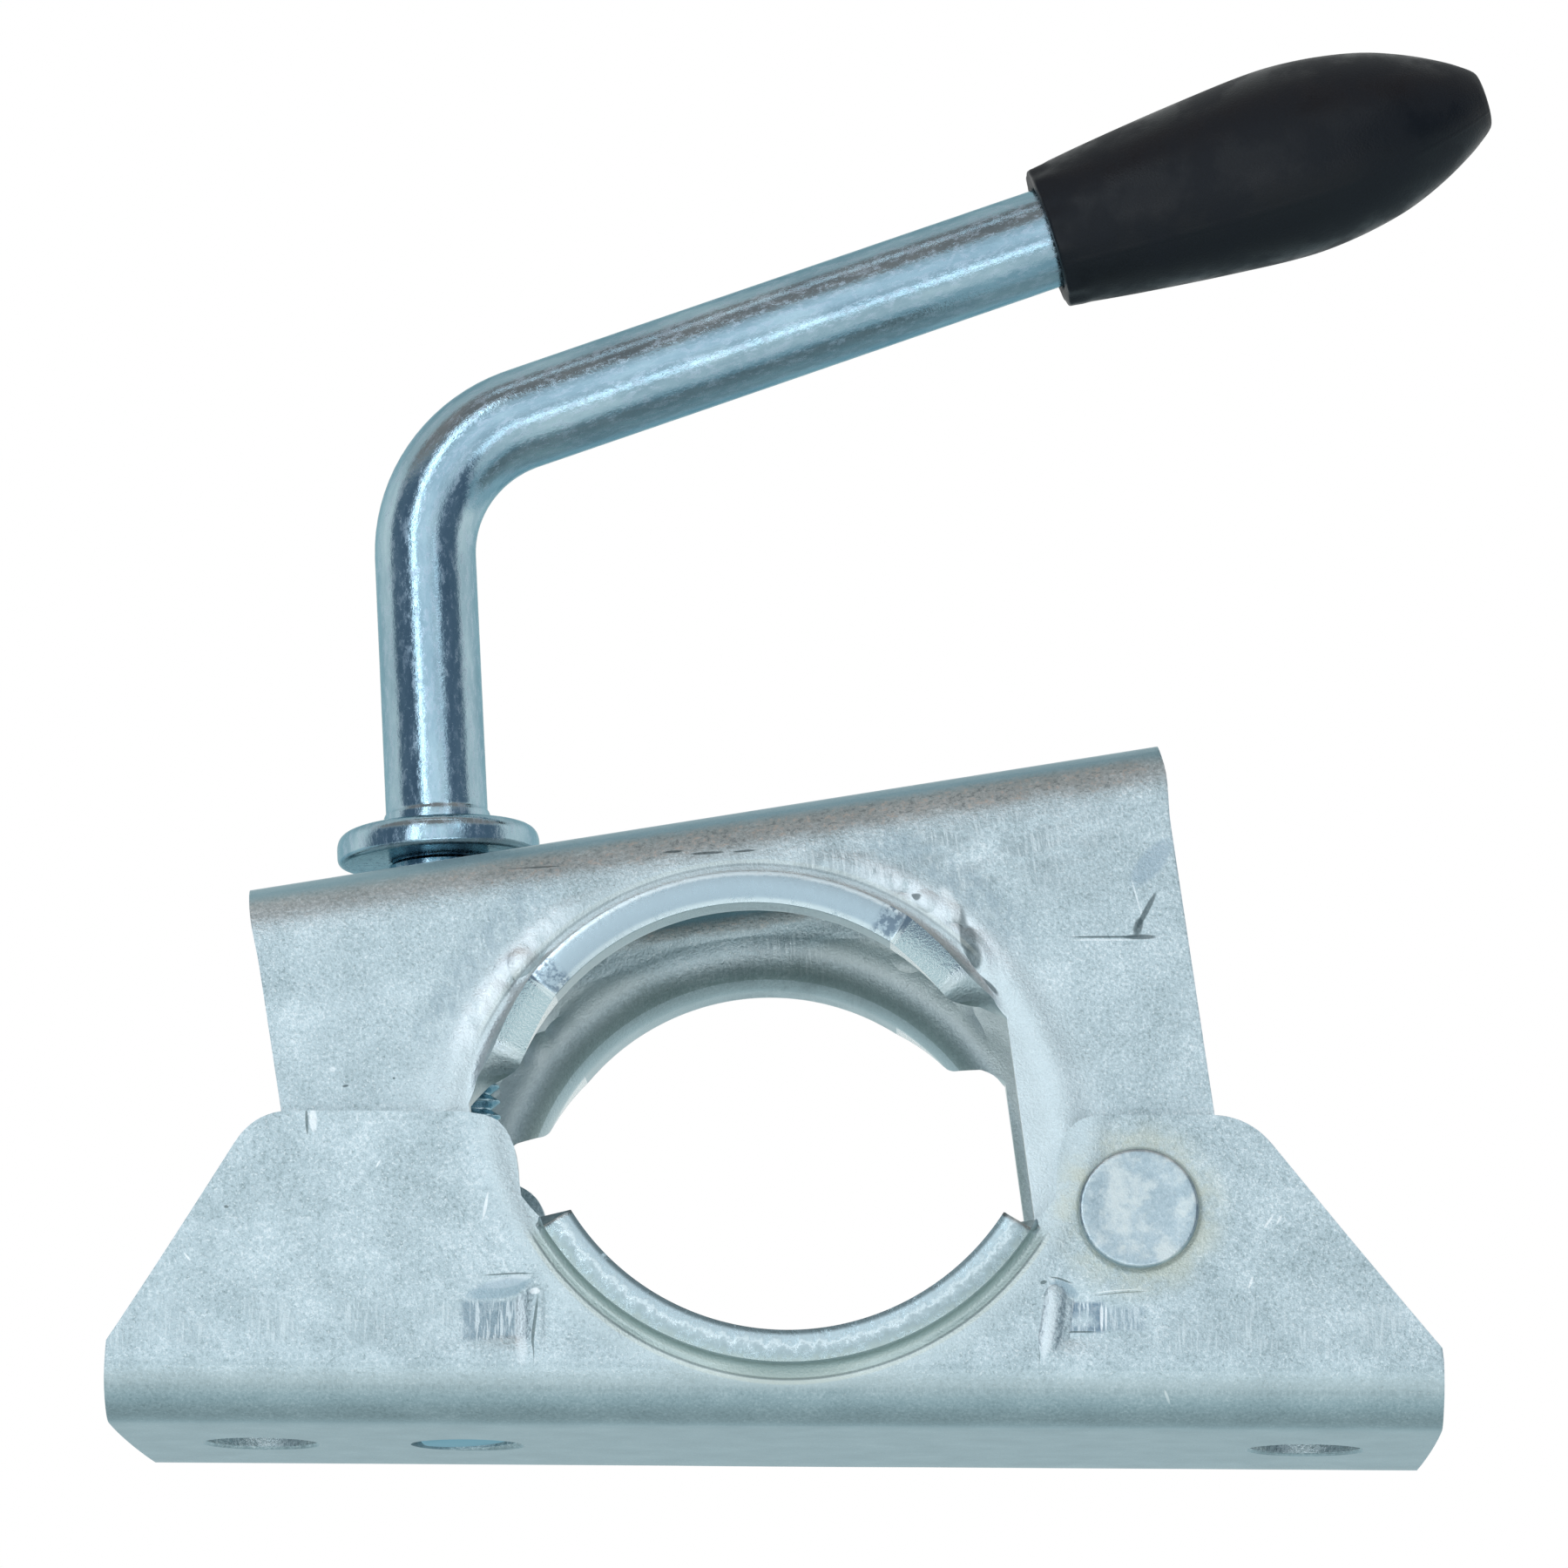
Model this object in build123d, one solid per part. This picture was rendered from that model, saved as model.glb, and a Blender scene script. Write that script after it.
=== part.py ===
from build123d import *
import math
import os

# Tube clamp for a trailer prop stand. Millimetres and degrees, +Z up, +X from the screw to the hinge.
# The origin is the middle of the two mounting holes, on the underside of the base's web.

# Pressed sheet
SHEET = 3.0
BEND = 3.0
CUT_CORNER = 5.0

# Tube saddles
TUBE_R = 24.2
LIP_HALF_ANGLE = 58.2
LIP_STAND = 27.9
FADE_ANGLE = 48.7
FADE_SLOPE = 41.0
LIP_STUB = 1.1

# Base bracket
BASE_LENGTH = 126.0
BASE_WIDTH = 50.6
BASE_MIDDLE = -0.2
SCREW_END_BOW = 0.95
HINGE_END_BOW = 0.65
BASE_SADDLE_X = 1.05
BASE_SADDLE_Z = 32.46
EAR_TOP = 29.3
END_HEIGHT = 7.2
SCREW_EAR_TOP_END = -49.9
HINGE_EAR_TOP_END = 44.7
EAR_CORNER = 6.0
SCREW_EAR_NECK = 26.35
HINGE_EAR_NECK = 25.65
EAR_NOTCH = 13.2
NOTCH_REACH = 22.6
NOTCH_SLANT = 2.2
NOTCH_CORNER = 1.2
HOLE_TO_END = 11.9
HOLE_D = 11.0

# Hinge rivet
RIVET_X = 34.3
RIVET_Z = 20.15
RIVET_D = 8.0
RIVET_HEAD_D = 11.4
RIVET_HEAD = 1.5
HEAD_EDGE = 0.35

# Jaw, measured from the rivet with its web level
JAW_SIDE_GAP = 0.3
JAW_TOP = 45.65
JAW_SCREW_END = 79.2
JAW_HINGE_END = 9.1
JAW_END_BOW = 0.6
HINGE_LEG_R = 8.5
JAW_SADDLE_X = -35.36
JAW_SADDLE_Z = 10.76
SCREW_LEG = 17.7
SCREW_LEG_END = -1.7
HINGE_LEG_INNER = -9.6
HINGE_LEG_CORNER = 6.0
SHOULDER_DROP = 3.2
SHOULDER_ROUND = 3.0
CLOSED_PAST_LEVEL = 9.4
OPEN_PAST_LEVEL = 2.0

# Screw, its bush and its washer
SCREW_X = -31.1
SCREW_LEAN = 3.6
THREAD_D = 10.0
SCREW_END = 0.5
BUSH_D = 14.0
BUSH_TOP = 22.5
THREAD_GAP = 0.05
WASHER_Z = 58.1
WASHER_D = 20.2
WASHER_THICK = 3.2
WASHER_TOP_EDGE = 2.0
WASHER_LOWER_EDGE = 0.7
WASHER_NECK_D = 9.3
NECK_GAP = 0.1

# Handle
ROD_D = 10.2
FOOT_D = 10.6
FOOT_HEIGHT = 1.6
FOOT_EDGE = 0.25
ARM_HEIGHT = 100.0
ARM_RISE = 19.7
ARM_BEND = 14.4
ROD_REACH = 96.15

# Grip, along its own axis from its mouth
GRIP_START = 67.05
GRIP_DROOP = 1.4
GRIP_PROFILE = [(6.0, 7.95), (12.0, 8.65), (17.5, 9.2), (23.0, 9.65), (27.0, 9.7), (31.5, 9.25),
                (36.0, 8.3), (40.0, 6.8), (43.5, 5.0)]
GRIP_MOUTH_R = 7.2
GRIP_MOUTH_EDGE = 0.5
GRIP_LENGTH = 46.5
GRIP_TIP_R = 2.7
GRIP_GAP = 0.1

# Running fits and holes
PIN_GAP = 0.08
HOLE_GAP = 0.3
SLOT_GAP = 0.6

LIP_OUTER_R = TUBE_R + SHEET
ROOT_R = LIP_OUTER_R + BEND
HOLE_SPACING = BASE_LENGTH - 2 * HOLE_TO_END
BASE_HALF = BASE_WIDTH / 2
JAW_HALF = BASE_HALF - SHEET - JAW_SIDE_GAP
SCREW_DIR = Vector(-math.sin(math.radians(SCREW_LEAN)), 0, math.cos(math.radians(SCREW_LEAN)))
ARM_DIR = Vector(math.cos(math.radians(ARM_RISE)), 0, math.sin(math.radians(ARM_RISE)))


def screw_point(z):
    """The point of the screw's axis at height z."""
    return Vector(SCREW_X + SCREW_DIR.X / SCREW_DIR.Z * z, 0, z)


def screw_plane(z):
    """The plane square to the screw's axis, where the axis is at height z."""
    return Plane(origin=screw_point(z), x_dir=Vector(SCREW_DIR.Z, 0, -SCREW_DIR.X), z_dir=SCREW_DIR)


def channel(half_width, length, height):
    """A folded channel with its web's underside at z = 0 and its open side up, centred on x = 0."""
    outer = RectangleRounded(2 * half_width, 2 * height, BEND + SHEET)
    inner_half = half_width - SHEET
    inner = Pos(0, SHEET) * RectangleRounded(2 * inner_half, 2 * height, BEND)
    section = Pos(0, height) * (outer - inner)
    section &= Pos(0, height / 2) * Rectangle(2 * half_width, height)
    return extrude(Plane.YZ * section, length / 2, both=True)


def bowed_ends(left, right, left_bow, right_bow, half_width, height):
    """The block that a channel is cut to, seen from above: its ends stand out by their bows in the middle."""
    near_left, far_left = (left, -half_width), (left, half_width)
    near_right, far_right = (right, -half_width), (right, half_width)
    ends = [ThreePointArc(near_right, (right + right_bow, 0), far_right),
            ThreePointArc(far_left, (left - left_bow, 0), near_left)]
    sides = [Line(near_left, near_right), Line(far_right, far_left)]
    return extrude(make_face(Wire([*ends, *sides])), height, both=True)


def side_cut(outline, half_width):
    """The prism that a side view, drawn in X and Z, cuts from a channel."""
    return extrude(Plane.XZ * outline, half_width + 1, both=True)


def radial(angle):
    """The direction at an angle above +X in the side view."""
    return Vector(math.cos(math.radians(angle)), 0, math.sin(math.radians(angle)))


def saddle_lip(center, middle_angle, half_width):
    """One outward lip: the sheet's bend and lip, turned about the tube's axis through the saddle."""
    bend_y = half_width + BEND
    ring = Circle(BEND + SHEET) - Circle(BEND)
    quarter = Pos(-ROOT_R / 2, -ROOT_R / 2) * Rectangle(ROOT_R, ROOT_R)
    profile = Pos(ROOT_R, bend_y) * (ring & quarter)
    if LIP_STAND > bend_y:
        straight = LIP_STAND - bend_y
        profile += Pos(TUBE_R + SHEET / 2, bend_y + straight / 2) * Rectangle(SHEET, straight)
    profile &= Pos(ROOT_R, LIP_STAND / 2) * Rectangle(ROOT_R, LIP_STAND)
    start = radial(middle_angle + LIP_HALF_ANGLE)
    across = Plane(origin=center, x_dir=start, z_dir=start.cross(Vector(0, 1, 0)))
    return revolve(across * profile, Axis(center, (0, 1, 0)), 2 * LIP_HALF_ANGLE)


def faded_ends(lip, center, middle_angle, half_width):
    """Slope both ends of a lip down to its flange."""
    depth = half_width + (LIP_STAND - half_width) / 2
    for side in (-1, 1):
        out = radial(middle_angle + side * FADE_ANGLE)
        along = out.cross(Vector(0, side, 0))
        slope = math.radians(FADE_SLOPE)
        normal = Vector(0, math.cos(slope), 0) + along * math.sin(slope)
        middle = center + out * (TUBE_R + SHEET / 2) + Vector(0, depth, 0)
        facet = Plane(origin=middle, x_dir=out, z_dir=normal)
        size = 4 * SHEET
        lip -= facet * Pos(0, 0, size / 2) * Box(size, size, size)
    return lip


def both_sides(solid):
    """A solid and its mirror image across the middle plane."""
    return solid + mirror(solid, Plane.XZ)


def hinge_hole(x, z, gap, reach):
    """The hole for the rivet's shank through both flanges."""
    return Pos(x, 0, z) * Rot(X=90) * Cylinder(RIVET_D / 2 + gap, 2 * reach)


def lip_root(center, middle_angle, side, sheet_r):
    """A point on the radial line where a lip ends, in the side view."""
    point = center + radial(middle_angle + side * LIP_HALF_ANGLE) * sheet_r
    return (point.X, point.Z)


def base_side_view(center):
    """The base's side view: sloped ends, two rounded ears and the valley between them."""
    half = BASE_LENGTH / 2
    end_left, end_right = BASE_MIDDLE - half, BASE_MIDDLE + half
    neck_left, neck_right = center.X - SCREW_EAR_NECK, center.X + HINGE_EAR_NECK
    floor = center.Z - EAR_NOTCH
    foot = floor + NOTCH_SLANT
    outward = (SCREW_END_BOW + HINGE_END_BOW) * SHEET
    points = [
        (end_left - outward, 0), (end_right + outward, 0), (end_right + outward, END_HEIGHT),
        (end_right, END_HEIGHT), (HINGE_EAR_TOP_END, EAR_TOP),
        (neck_right, EAR_TOP), (neck_right, foot), (neck_right - NOTCH_SLANT, floor),
        (center.X + NOTCH_REACH, floor),
        lip_root(center, -90, 1, TUBE_R + LIP_STUB), (center.X, center.Z - TUBE_R),
        lip_root(center, -90, -1, TUBE_R + LIP_STUB),
        (center.X - NOTCH_REACH, floor), (neck_left + NOTCH_SLANT, floor), (neck_left, foot), (neck_left, EAR_TOP),
        (SCREW_EAR_TOP_END, EAR_TOP), (end_left, END_HEIGHT), (end_left - outward, END_HEIGHT),
    ]
    outline = make_face(Polyline(*points, close=True))
    ears = [v for v in outline.vertices() if v.Y > EAR_TOP - SHEET]
    outline = fillet(ears, EAR_CORNER)
    feet = [v for v in outline.vertices() if abs(v.Y - foot) < NOTCH_SLANT / 4]
    return fillet(feet, NOTCH_CORNER)


def lip_gap(center, middle_angle):
    """The round opening, up to the root of the lips, that the lips are folded out of."""
    sector = [center] + [center + radial(middle_angle + a) * 2 * ROOT_R
                         for a in (-LIP_HALF_ANGLE, -LIP_HALF_ANGLE / 2, 0, LIP_HALF_ANGLE / 2, LIP_HALF_ANGLE)]
    wedge = make_face(Polyline(*[(p.X, p.Z) for p in sector], close=True))
    return Pos(center.X, center.Z) * Circle(ROOT_R) & wedge


def make_base():
    center = Vector(BASE_SADDLE_X, 0, BASE_SADDLE_Z)
    half = BASE_LENGTH / 2
    blank = bowed_ends(BASE_MIDDLE - half, BASE_MIDDLE + half, SCREW_END_BOW, HINGE_END_BOW, BASE_HALF,
                       2 * EAR_TOP)
    body = channel(BASE_HALF, BASE_LENGTH + 4 * BEND, EAR_TOP + SHEET) & blank
    body &= side_cut(base_side_view(center) - lip_gap(center, -90), BASE_HALF)
    body += both_sides(saddle_lip(center, -90, BASE_HALF))
    for x in (-HOLE_SPACING / 2, HOLE_SPACING / 2):
        body -= Pos(x, 0, SHEET / 2) * Cylinder(HOLE_D / 2, 2 * SHEET)
    body -= screw_plane(SHEET / 2) * Cylinder(THREAD_D / 2 + HOLE_GAP, 3 * SHEET)
    body -= hinge_hole(RIVET_X, RIVET_Z, PIN_GAP / 2, BASE_WIDTH)
    return body


def screw_crossing(past_level):
    """Where the screw's axis meets the jaw web's outer face, along the jaw from the rivet."""
    turn = math.radians(past_level)
    web = Vector(math.sin(turn), 0, math.cos(turn))
    hinge = Vector(RIVET_X, 0, RIVET_Z)
    start = screw_point(0)
    reach = (JAW_TOP - (start - hinge).dot(web)) / SCREW_DIR.dot(web)
    along = Vector(math.cos(turn), 0, -math.sin(turn))
    return (start + SCREW_DIR * reach - hinge).dot(along)


def jaw_side_view(center):
    """The jaw's side view, level: a leg by the screw, the saddle, and a round leg at the rivet."""
    screw_inner = SCREW_LEG - JAW_SCREW_END
    hinge_low = -HINGE_LEG_R
    notch = center.Z + EAR_NOTCH
    shoulder = notch - SHOULDER_DROP
    beyond = JAW_SCREW_END + 2 * BEND
    leg_round_top = SCREW_LEG_END + 2 * CUT_CORNER
    points = [
        (-beyond, JAW_TOP), (-beyond, leg_round_top), (-JAW_SCREW_END, leg_round_top),
        (-JAW_SCREW_END, SCREW_LEG_END),
        (screw_inner, SCREW_LEG_END),
        (screw_inner, shoulder), (center.X - NOTCH_REACH, notch),
        lip_root(center, 90, 1, TUBE_R + LIP_STUB), (center.X, center.Z + TUBE_R),
        lip_root(center, 90, -1, TUBE_R + LIP_STUB), (center.X + NOTCH_REACH, notch),
        (HINGE_LEG_INNER, shoulder), (HINGE_LEG_INNER, hinge_low), (0, hinge_low), (HINGE_LEG_R, 0),
        (JAW_HINGE_END + 2 * BEND, HINGE_LEG_R), (JAW_HINGE_END + 2 * BEND, JAW_TOP),
    ]
    outline = make_face(Polyline(*points, close=True))
    near = SHEET / 10
    shoulders = [v for v in outline.vertices() if abs(v.Y - shoulder) < near]
    outline = fillet(shoulders, SHOULDER_ROUND)
    corners = [v for v in outline.vertices() if abs(v.Y - SCREW_LEG_END) < near]
    outline = fillet(corners, CUT_CORNER)
    corner = [v for v in outline.vertices() if abs(v.X - HINGE_LEG_INNER) + abs(v.Y - hinge_low) < near]
    outline = fillet(corner, HINGE_LEG_CORNER)
    return outline + Circle(HINGE_LEG_R)


def make_jaw():
    center = Vector(JAW_SADDLE_X, 0, JAW_SADDLE_Z)
    blank = bowed_ends(-JAW_SCREW_END, JAW_HINGE_END, JAW_END_BOW, JAW_END_BOW, JAW_HALF, 2 * JAW_TOP)
    upside_down = Pos(0, 0, JAW_TOP) * Rot(X=180)
    length = 2 * (JAW_SCREW_END + BEND)
    body = upside_down * channel(JAW_HALF, length, JAW_TOP + 2 * HINGE_LEG_R) & blank
    body &= side_cut(jaw_side_view(center) - lip_gap(center, 90), JAW_HALF)
    lip = saddle_lip(center, 90, JAW_HALF)
    body += both_sides(faded_ends(lip, center, 90, JAW_HALF))
    reach = THREAD_D / 2 + SLOT_GAP
    slot_end = screw_crossing(OPEN_PAST_LEVEL)
    slot_start = screw_crossing(-CLOSED_PAST_LEVEL)
    slot = SlotCenterToCenter(slot_start - slot_end, 2 * reach)
    slot_middle = (slot_start + slot_end) / 2
    body -= Pos(slot_middle, 0, JAW_TOP - 2 * SHEET) * extrude(slot, 4 * SHEET)
    body -= hinge_hole(0, 0, PIN_GAP, BASE_WIDTH)
    return Pos(RIVET_X, 0, RIVET_Z) * Rot(Y=-CLOSED_PAST_LEVEL) * body


def make_rivet():
    half = BASE_HALF + RIVET_HEAD
    shank = Cylinder(RIVET_D / 2, 2 * half)
    head = Pos(0, 0, BASE_HALF + RIVET_HEAD / 2) * Cylinder(RIVET_HEAD_D / 2, RIVET_HEAD)
    head = fillet(head.edges().group_by(Axis.Z)[-1], HEAD_EDGE)
    rivet = shank + head + mirror(head, Plane.XY)
    return Pos(RIVET_X, 0, RIVET_Z) * Rot(X=90) * rivet


def make_bush():
    """The bush leans with the screw, and its foot is cut flat to sit on the web."""
    bush = screw_plane(BUSH_TOP) * Pos(0, 0, -BUSH_TOP / 2) * Cylinder(BUSH_D / 2, BUSH_TOP)
    bush -= Pos(SCREW_X, 0, SHEET - BUSH_D) * Box(3 * BUSH_D, 3 * BUSH_D, 2 * BUSH_D)
    bore = screw_plane(BUSH_TOP / 2) * Cylinder(THREAD_D / 2 + THREAD_GAP, 3 * BUSH_TOP)
    return bush - bore


def make_washer():
    disc = Pos(0, 0, WASHER_THICK / 2) * Cylinder(WASHER_D / 2, WASHER_THICK)
    disc = fillet(disc.edges().group_by(Axis.Z)[-1], WASHER_TOP_EDGE)
    disc = fillet(disc.edges().group_by(Axis.Z)[0], WASHER_LOWER_EDGE)
    bore = Pos(0, 0, WASHER_THICK / 2) * Cylinder(WASHER_NECK_D / 2 + NECK_GAP, 2 * WASHER_THICK)
    return screw_plane(WASHER_Z) * (disc - bore)


def make_screw_rod():
    """Threaded end, neck in the washer, foot, and the rod bent over into the arm."""
    corner = screw_point(ARM_HEIGHT)
    foot_start = WASHER_Z + (WASHER_THICK + NECK_GAP) * SCREW_DIR.Z
    turn = math.acos(SCREW_DIR.dot(ARM_DIR))
    setback = ARM_BEND * math.tan(turn / 2)
    bend_start = corner - SCREW_DIR * setback
    bend_end = corner + ARM_DIR * setback
    upright = Line(screw_point(foot_start), bend_start)
    bend = TangentArc(bend_start, bend_end, tangent=SCREW_DIR)
    arm = Line(bend_end, corner + ARM_DIR * ROD_REACH)
    rod = sweep(screw_plane(foot_start) * Circle(ROD_D / 2), path=upright + bend + arm)
    foot = Pos(0, 0, FOOT_HEIGHT / 2) * Cylinder(FOOT_D / 2, FOOT_HEIGHT)
    foot = fillet(foot.edges().group_by(Axis.Z)[-1], FOOT_EDGE)
    neck_length = (foot_start - WASHER_Z) / SCREW_DIR.Z + NECK_GAP
    neck = Pos(0, 0, -neck_length / 2) * Cylinder(WASHER_NECK_D / 2, neck_length)
    thread_length = (foot_start - SCREW_END) / SCREW_DIR.Z - neck_length
    thread = Pos(0, 0, -neck_length - thread_length / 2) * Cylinder(THREAD_D / 2, thread_length)
    return rod + screw_plane(foot_start) * (foot + neck + thread)


def make_grip():
    mouth = [(0, 0), (GRIP_MOUTH_R - GRIP_MOUTH_EDGE, 0), (GRIP_MOUTH_R, GRIP_MOUTH_EDGE)]
    side = Spline(mouth[-1][0:2], *[(r, s) for s, r in GRIP_PROFILE], (GRIP_TIP_R, GRIP_LENGTH))
    ends = Polyline((GRIP_TIP_R, GRIP_LENGTH), (0, GRIP_LENGTH), *mouth)
    blank = revolve(Plane.XZ * make_face(side + ends), Axis.Z)
    corner = screw_point(ARM_HEIGHT)
    start = corner + ARM_DIR * GRIP_START
    droop = math.radians(ARM_RISE - GRIP_DROOP)
    grip_dir = Vector(math.cos(droop), 0, math.sin(droop))
    across = Vector(0, 1, 0)
    grip = Plane(origin=start, x_dir=across, z_dir=grip_dir) * blank
    rod_length = ROD_REACH - GRIP_START + GRIP_GAP
    bore = Plane(origin=start, x_dir=across, z_dir=ARM_DIR) * Pos(0, 0, rod_length / 2 - 1)
    return grip - bore * Cylinder(ROD_D / 2 + GRIP_GAP, rod_length + 2)


os.makedirs("parts", exist_ok=True)
PARTS = {
    "base_bracket": make_base,
    "clamp_jaw": make_jaw,
    "hinge_rivet": make_rivet,
    "threaded_bush": make_bush,
    "screw_rod": make_screw_rod,
    "thrust_washer": make_washer,
    "grip": make_grip,
}
for name, make in PARTS.items():
    export_step(make(), f"parts/{name}.step")
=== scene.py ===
"""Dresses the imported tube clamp: plated pressed sheet, plated screw rod and a soft plastic grip."""

import math
from functools import partial

import bmesh
import bpy
import numpy as np
from mathutils import Matrix, Vector


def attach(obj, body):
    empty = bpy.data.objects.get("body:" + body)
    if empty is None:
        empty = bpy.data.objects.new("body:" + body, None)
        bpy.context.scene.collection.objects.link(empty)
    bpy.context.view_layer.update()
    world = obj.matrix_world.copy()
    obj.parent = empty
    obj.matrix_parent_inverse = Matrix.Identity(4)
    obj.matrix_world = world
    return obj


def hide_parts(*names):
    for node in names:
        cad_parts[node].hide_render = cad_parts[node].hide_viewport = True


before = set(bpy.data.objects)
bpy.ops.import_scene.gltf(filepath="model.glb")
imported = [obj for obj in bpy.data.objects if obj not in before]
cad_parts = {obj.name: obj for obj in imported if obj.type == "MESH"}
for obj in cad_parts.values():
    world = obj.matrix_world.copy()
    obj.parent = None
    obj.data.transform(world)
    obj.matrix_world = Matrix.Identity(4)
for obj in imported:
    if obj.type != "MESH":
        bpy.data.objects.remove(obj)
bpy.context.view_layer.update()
MM = 0.001

# Photo's view: its focal length in pixels, and the camera's place in millimetres and turns in degrees
PHOTO_WIDTH = 1800
FOCAL_PIXELS = 7982.4
SENSOR_WIDTH = 36.0
CAMERA_PLACE = (19.4, -680.25, -68.44)
CAMERA_TURNS = [(1.67, "Z"), (11.19, "X"), (-0.53, "Y"), (90.0, "X")]

# Pressed sheet. Each channel has its own place: x along it, and height from its web's outer face.
SHEET, BEND, WEB_BEND = 3.0, 3.0, 4.5
BASE_HOLE_X, BASE_HOLE_R, SCREW_HOLE_R = 51.1, 5.5, 5.3
JAW_TOP, JAW_CLOSED = 45.65, 9.4
RIVET_R = 4.06
EDGE_ROUND, EDGE_ANGLE = 0.22, 50.0
SMOOTH_BELOW, CUT_SMOOTH_BELOW = 38.0, 35.0

# Grid of the sheets: finer columns past an angle in degrees, and the outline's step in millimetres
FINE_FROM, FINE_STEP, OUTLINE_STEP = 40.0, 0.6, 0.6
LIP_COLUMNS, LIP_ROWS, FLANGE_ROWS, BEND_ROWS, WEB_ROWS = 61, 16, 44, 9, 6

# Least height of a root over its foot, the fade of dents above it, and how far in an end's bow starts
FOOT_GAP, DENT_FADE, BOW_LENGTH = 0.9, 1.6, 11.0
ROW_EASE, INSET_SHARE, MERGE_WITHIN = 0.8, 0.35, 1e-6
SWELL_HEIGHT, SWELL_WIDTH = 4.3, 2.2

# A channel: half its width, its saddle's middle, and its lip, whose length, fold and edge go by the angle
# from that middle in degrees. Each side has its outline's corners, rounds and feet, and its end's bow.
BASE = {
    "half": 25.3, "saddle": (1.05, 32.46), "root": 28.3, "fold": 2.6, "stand": 27.85, "span": 66.0,
    "reach": 1.1,
    "lip": [(0, 1.0), (57.9, 1.0), (59.1, 0.2), (66.0, 0.12)],
    "folded": [(0, 1.0), (58.3, 1.0), (59.7, 0.45), (66.0, 0.0)],
    "edge": [(57.0, 25.6), (59.1, 25.6), (60.4, 26.6), (63.0, 27.35), (66.0, 27.9)],
    "left": [(-63.2, 7.2), (-49.9, 29.3), (-25.3, 29.3), (-24.44, 21.11)], "left_round": (3.6, 5.0),
    "left_foot": (-63.2, -52.0, -33.0),
    "right": [(26.54, 21.11), (26.7, 29.3), (44.7, 29.3), (62.7, 7.2)], "right_round": (5.0, 3.6),
    "right_foot": (34.0, 47.0, 62.8),
    "left_bow": (0.9, 0.15), "right_bow": (0.6, 0.1), "bow_from": (-52.0, 52.0),
}
JAW = {
    "half": 22.0, "saddle": (-35.36, 34.89), "root": 28.9, "fold": 3.2, "stand": 27.85, "span": 69.0,
    "reach": 1.03,
    "lip": [(0, 1.0), (41.8, 1.0), (55.6, 0.545), (58.0, 0.5), (64.0, 0.195), (69.0, 0.1)],
    "folded": [(0, 1.0), (60.0, 1.0), (64.0, 0.8), (69.0, 0.0)],
    "edge": [(57.0, 26.0), (60.0, 26.2), (62.0, 26.6), (64.0, 27.0), (69.0, 27.96)],
    "left": [(-79.0, 42.2), (-79.0, 47.3), (-61.6, 47.3), (-61.46, 24.87)], "left_round": (4.9, 5.0),
    "left_foot": (-79.3, -77.0, -69.0),
    "right": [(-9.26, 24.87), (-10.0, 54.15), (0.0, 54.15), (8.5, 54.15), (8.5, 45.65)],
    "right_round": (6.0, 0.1, 8.3), "right_foot": (-2.0, 2.0, 6.0, 9.2),
    "left_bow": (0.5, 0.2), "right_bow": (0.5, 0.35), "bow_from": (-66.0, -2.0),
}
SLOT, SLOT_R, SLOT_CUT = (-71.33, -62.24), 5.6, (-3.0, 6.0)

# Pockets that the die pressed beside the base's saddle: side, wall, lean, depth, reach and ridge
POCKETS = [(-1, -22.95, 0.0, 0.42, 6.0, 0.1), (1, 26.3, 0.13, 0.4, 4.6, 0.22)]
RIDGE_WIDTH = 0.4
# The jaw's torn sheet: how far each place stands out or in, its middle, its size and its turn
TEARS = [
    (0.4, (-54.6, 12.2), (1.2, 0.7), -30), (0.25, (-10.9, 18.6), (0.7, 2.6), -15),
    (-0.4, (-55.7, 13.9), (0.6, 1.1), 25), (-0.4, (-52.9, 12.3), (0.9, 0.5), -30),
    (-0.4, (-17.2, 11.2), (0.9, 0.5), 20), (-0.4, (-12.0, 15.6), (1.2, 0.7), 45),
]

# Screw's axis
SCREW_X = -31.1
SCREW_LEAN = math.radians(3.6)
SCREW_DIR = np.array([-math.sin(SCREW_LEAN), 0.0, math.cos(SCREW_LEAN)])
SCREW_ORIGIN = np.array([SCREW_X, 0.0, 0.0])
DEPTH = np.array([0.0, 1.0, 0.0])

# Handle, by its length from the web's underside along the screw's axis
ROD_R, ROD_START = 5.1, 0.24
FOOT, FOOT_R, FOOT_HEIGHT = 61.51, 5.3, 1.6
THREAD_R, THREAD_PITCH, THREAD_DEPTH = 5.0, 1.5, 0.85
THREAD_TOP = 47.0
NECK_R, NECK_LENGTH = 4.65, 3.3
ARM_CORNER = 100.0
ARM_RISE = math.radians(19.7)
ARM_BEND = 14.4
ARM_REACH = 95.95
WASHER_Z, WASHER_R, WASHER_THICK, WASHER_BORE = 58.1, 10.1, 3.2, 4.75
GRIP_START, GRIP_DROOP, GRIP_LENGTH = 67.05, math.radians(1.4), 46.5
GRIP_BORE, BORE_END = 5.2, 29.0
GRIP_PROFILE = [(6.0, 7.95), (12.0, 8.65), (17.5, 9.2), (23.0, 9.65), (27.0, 9.7), (31.5, 9.244),
                (36.0, 8.294), (40.0, 6.794), (43.5, 5.0)]
PARTING_ANGLE = 2.27

# Rivet, and half the length of the cutter for its holes
RIVET_SHANK_R = 4.0
RIVET = (34.3, 20.15)
PIN, PIN_REACH = (RIVET[0], 0, RIVET[1]), 40
RIVET_HEAD_R, RIVET_HEAD = 5.7, 1.5

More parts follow.
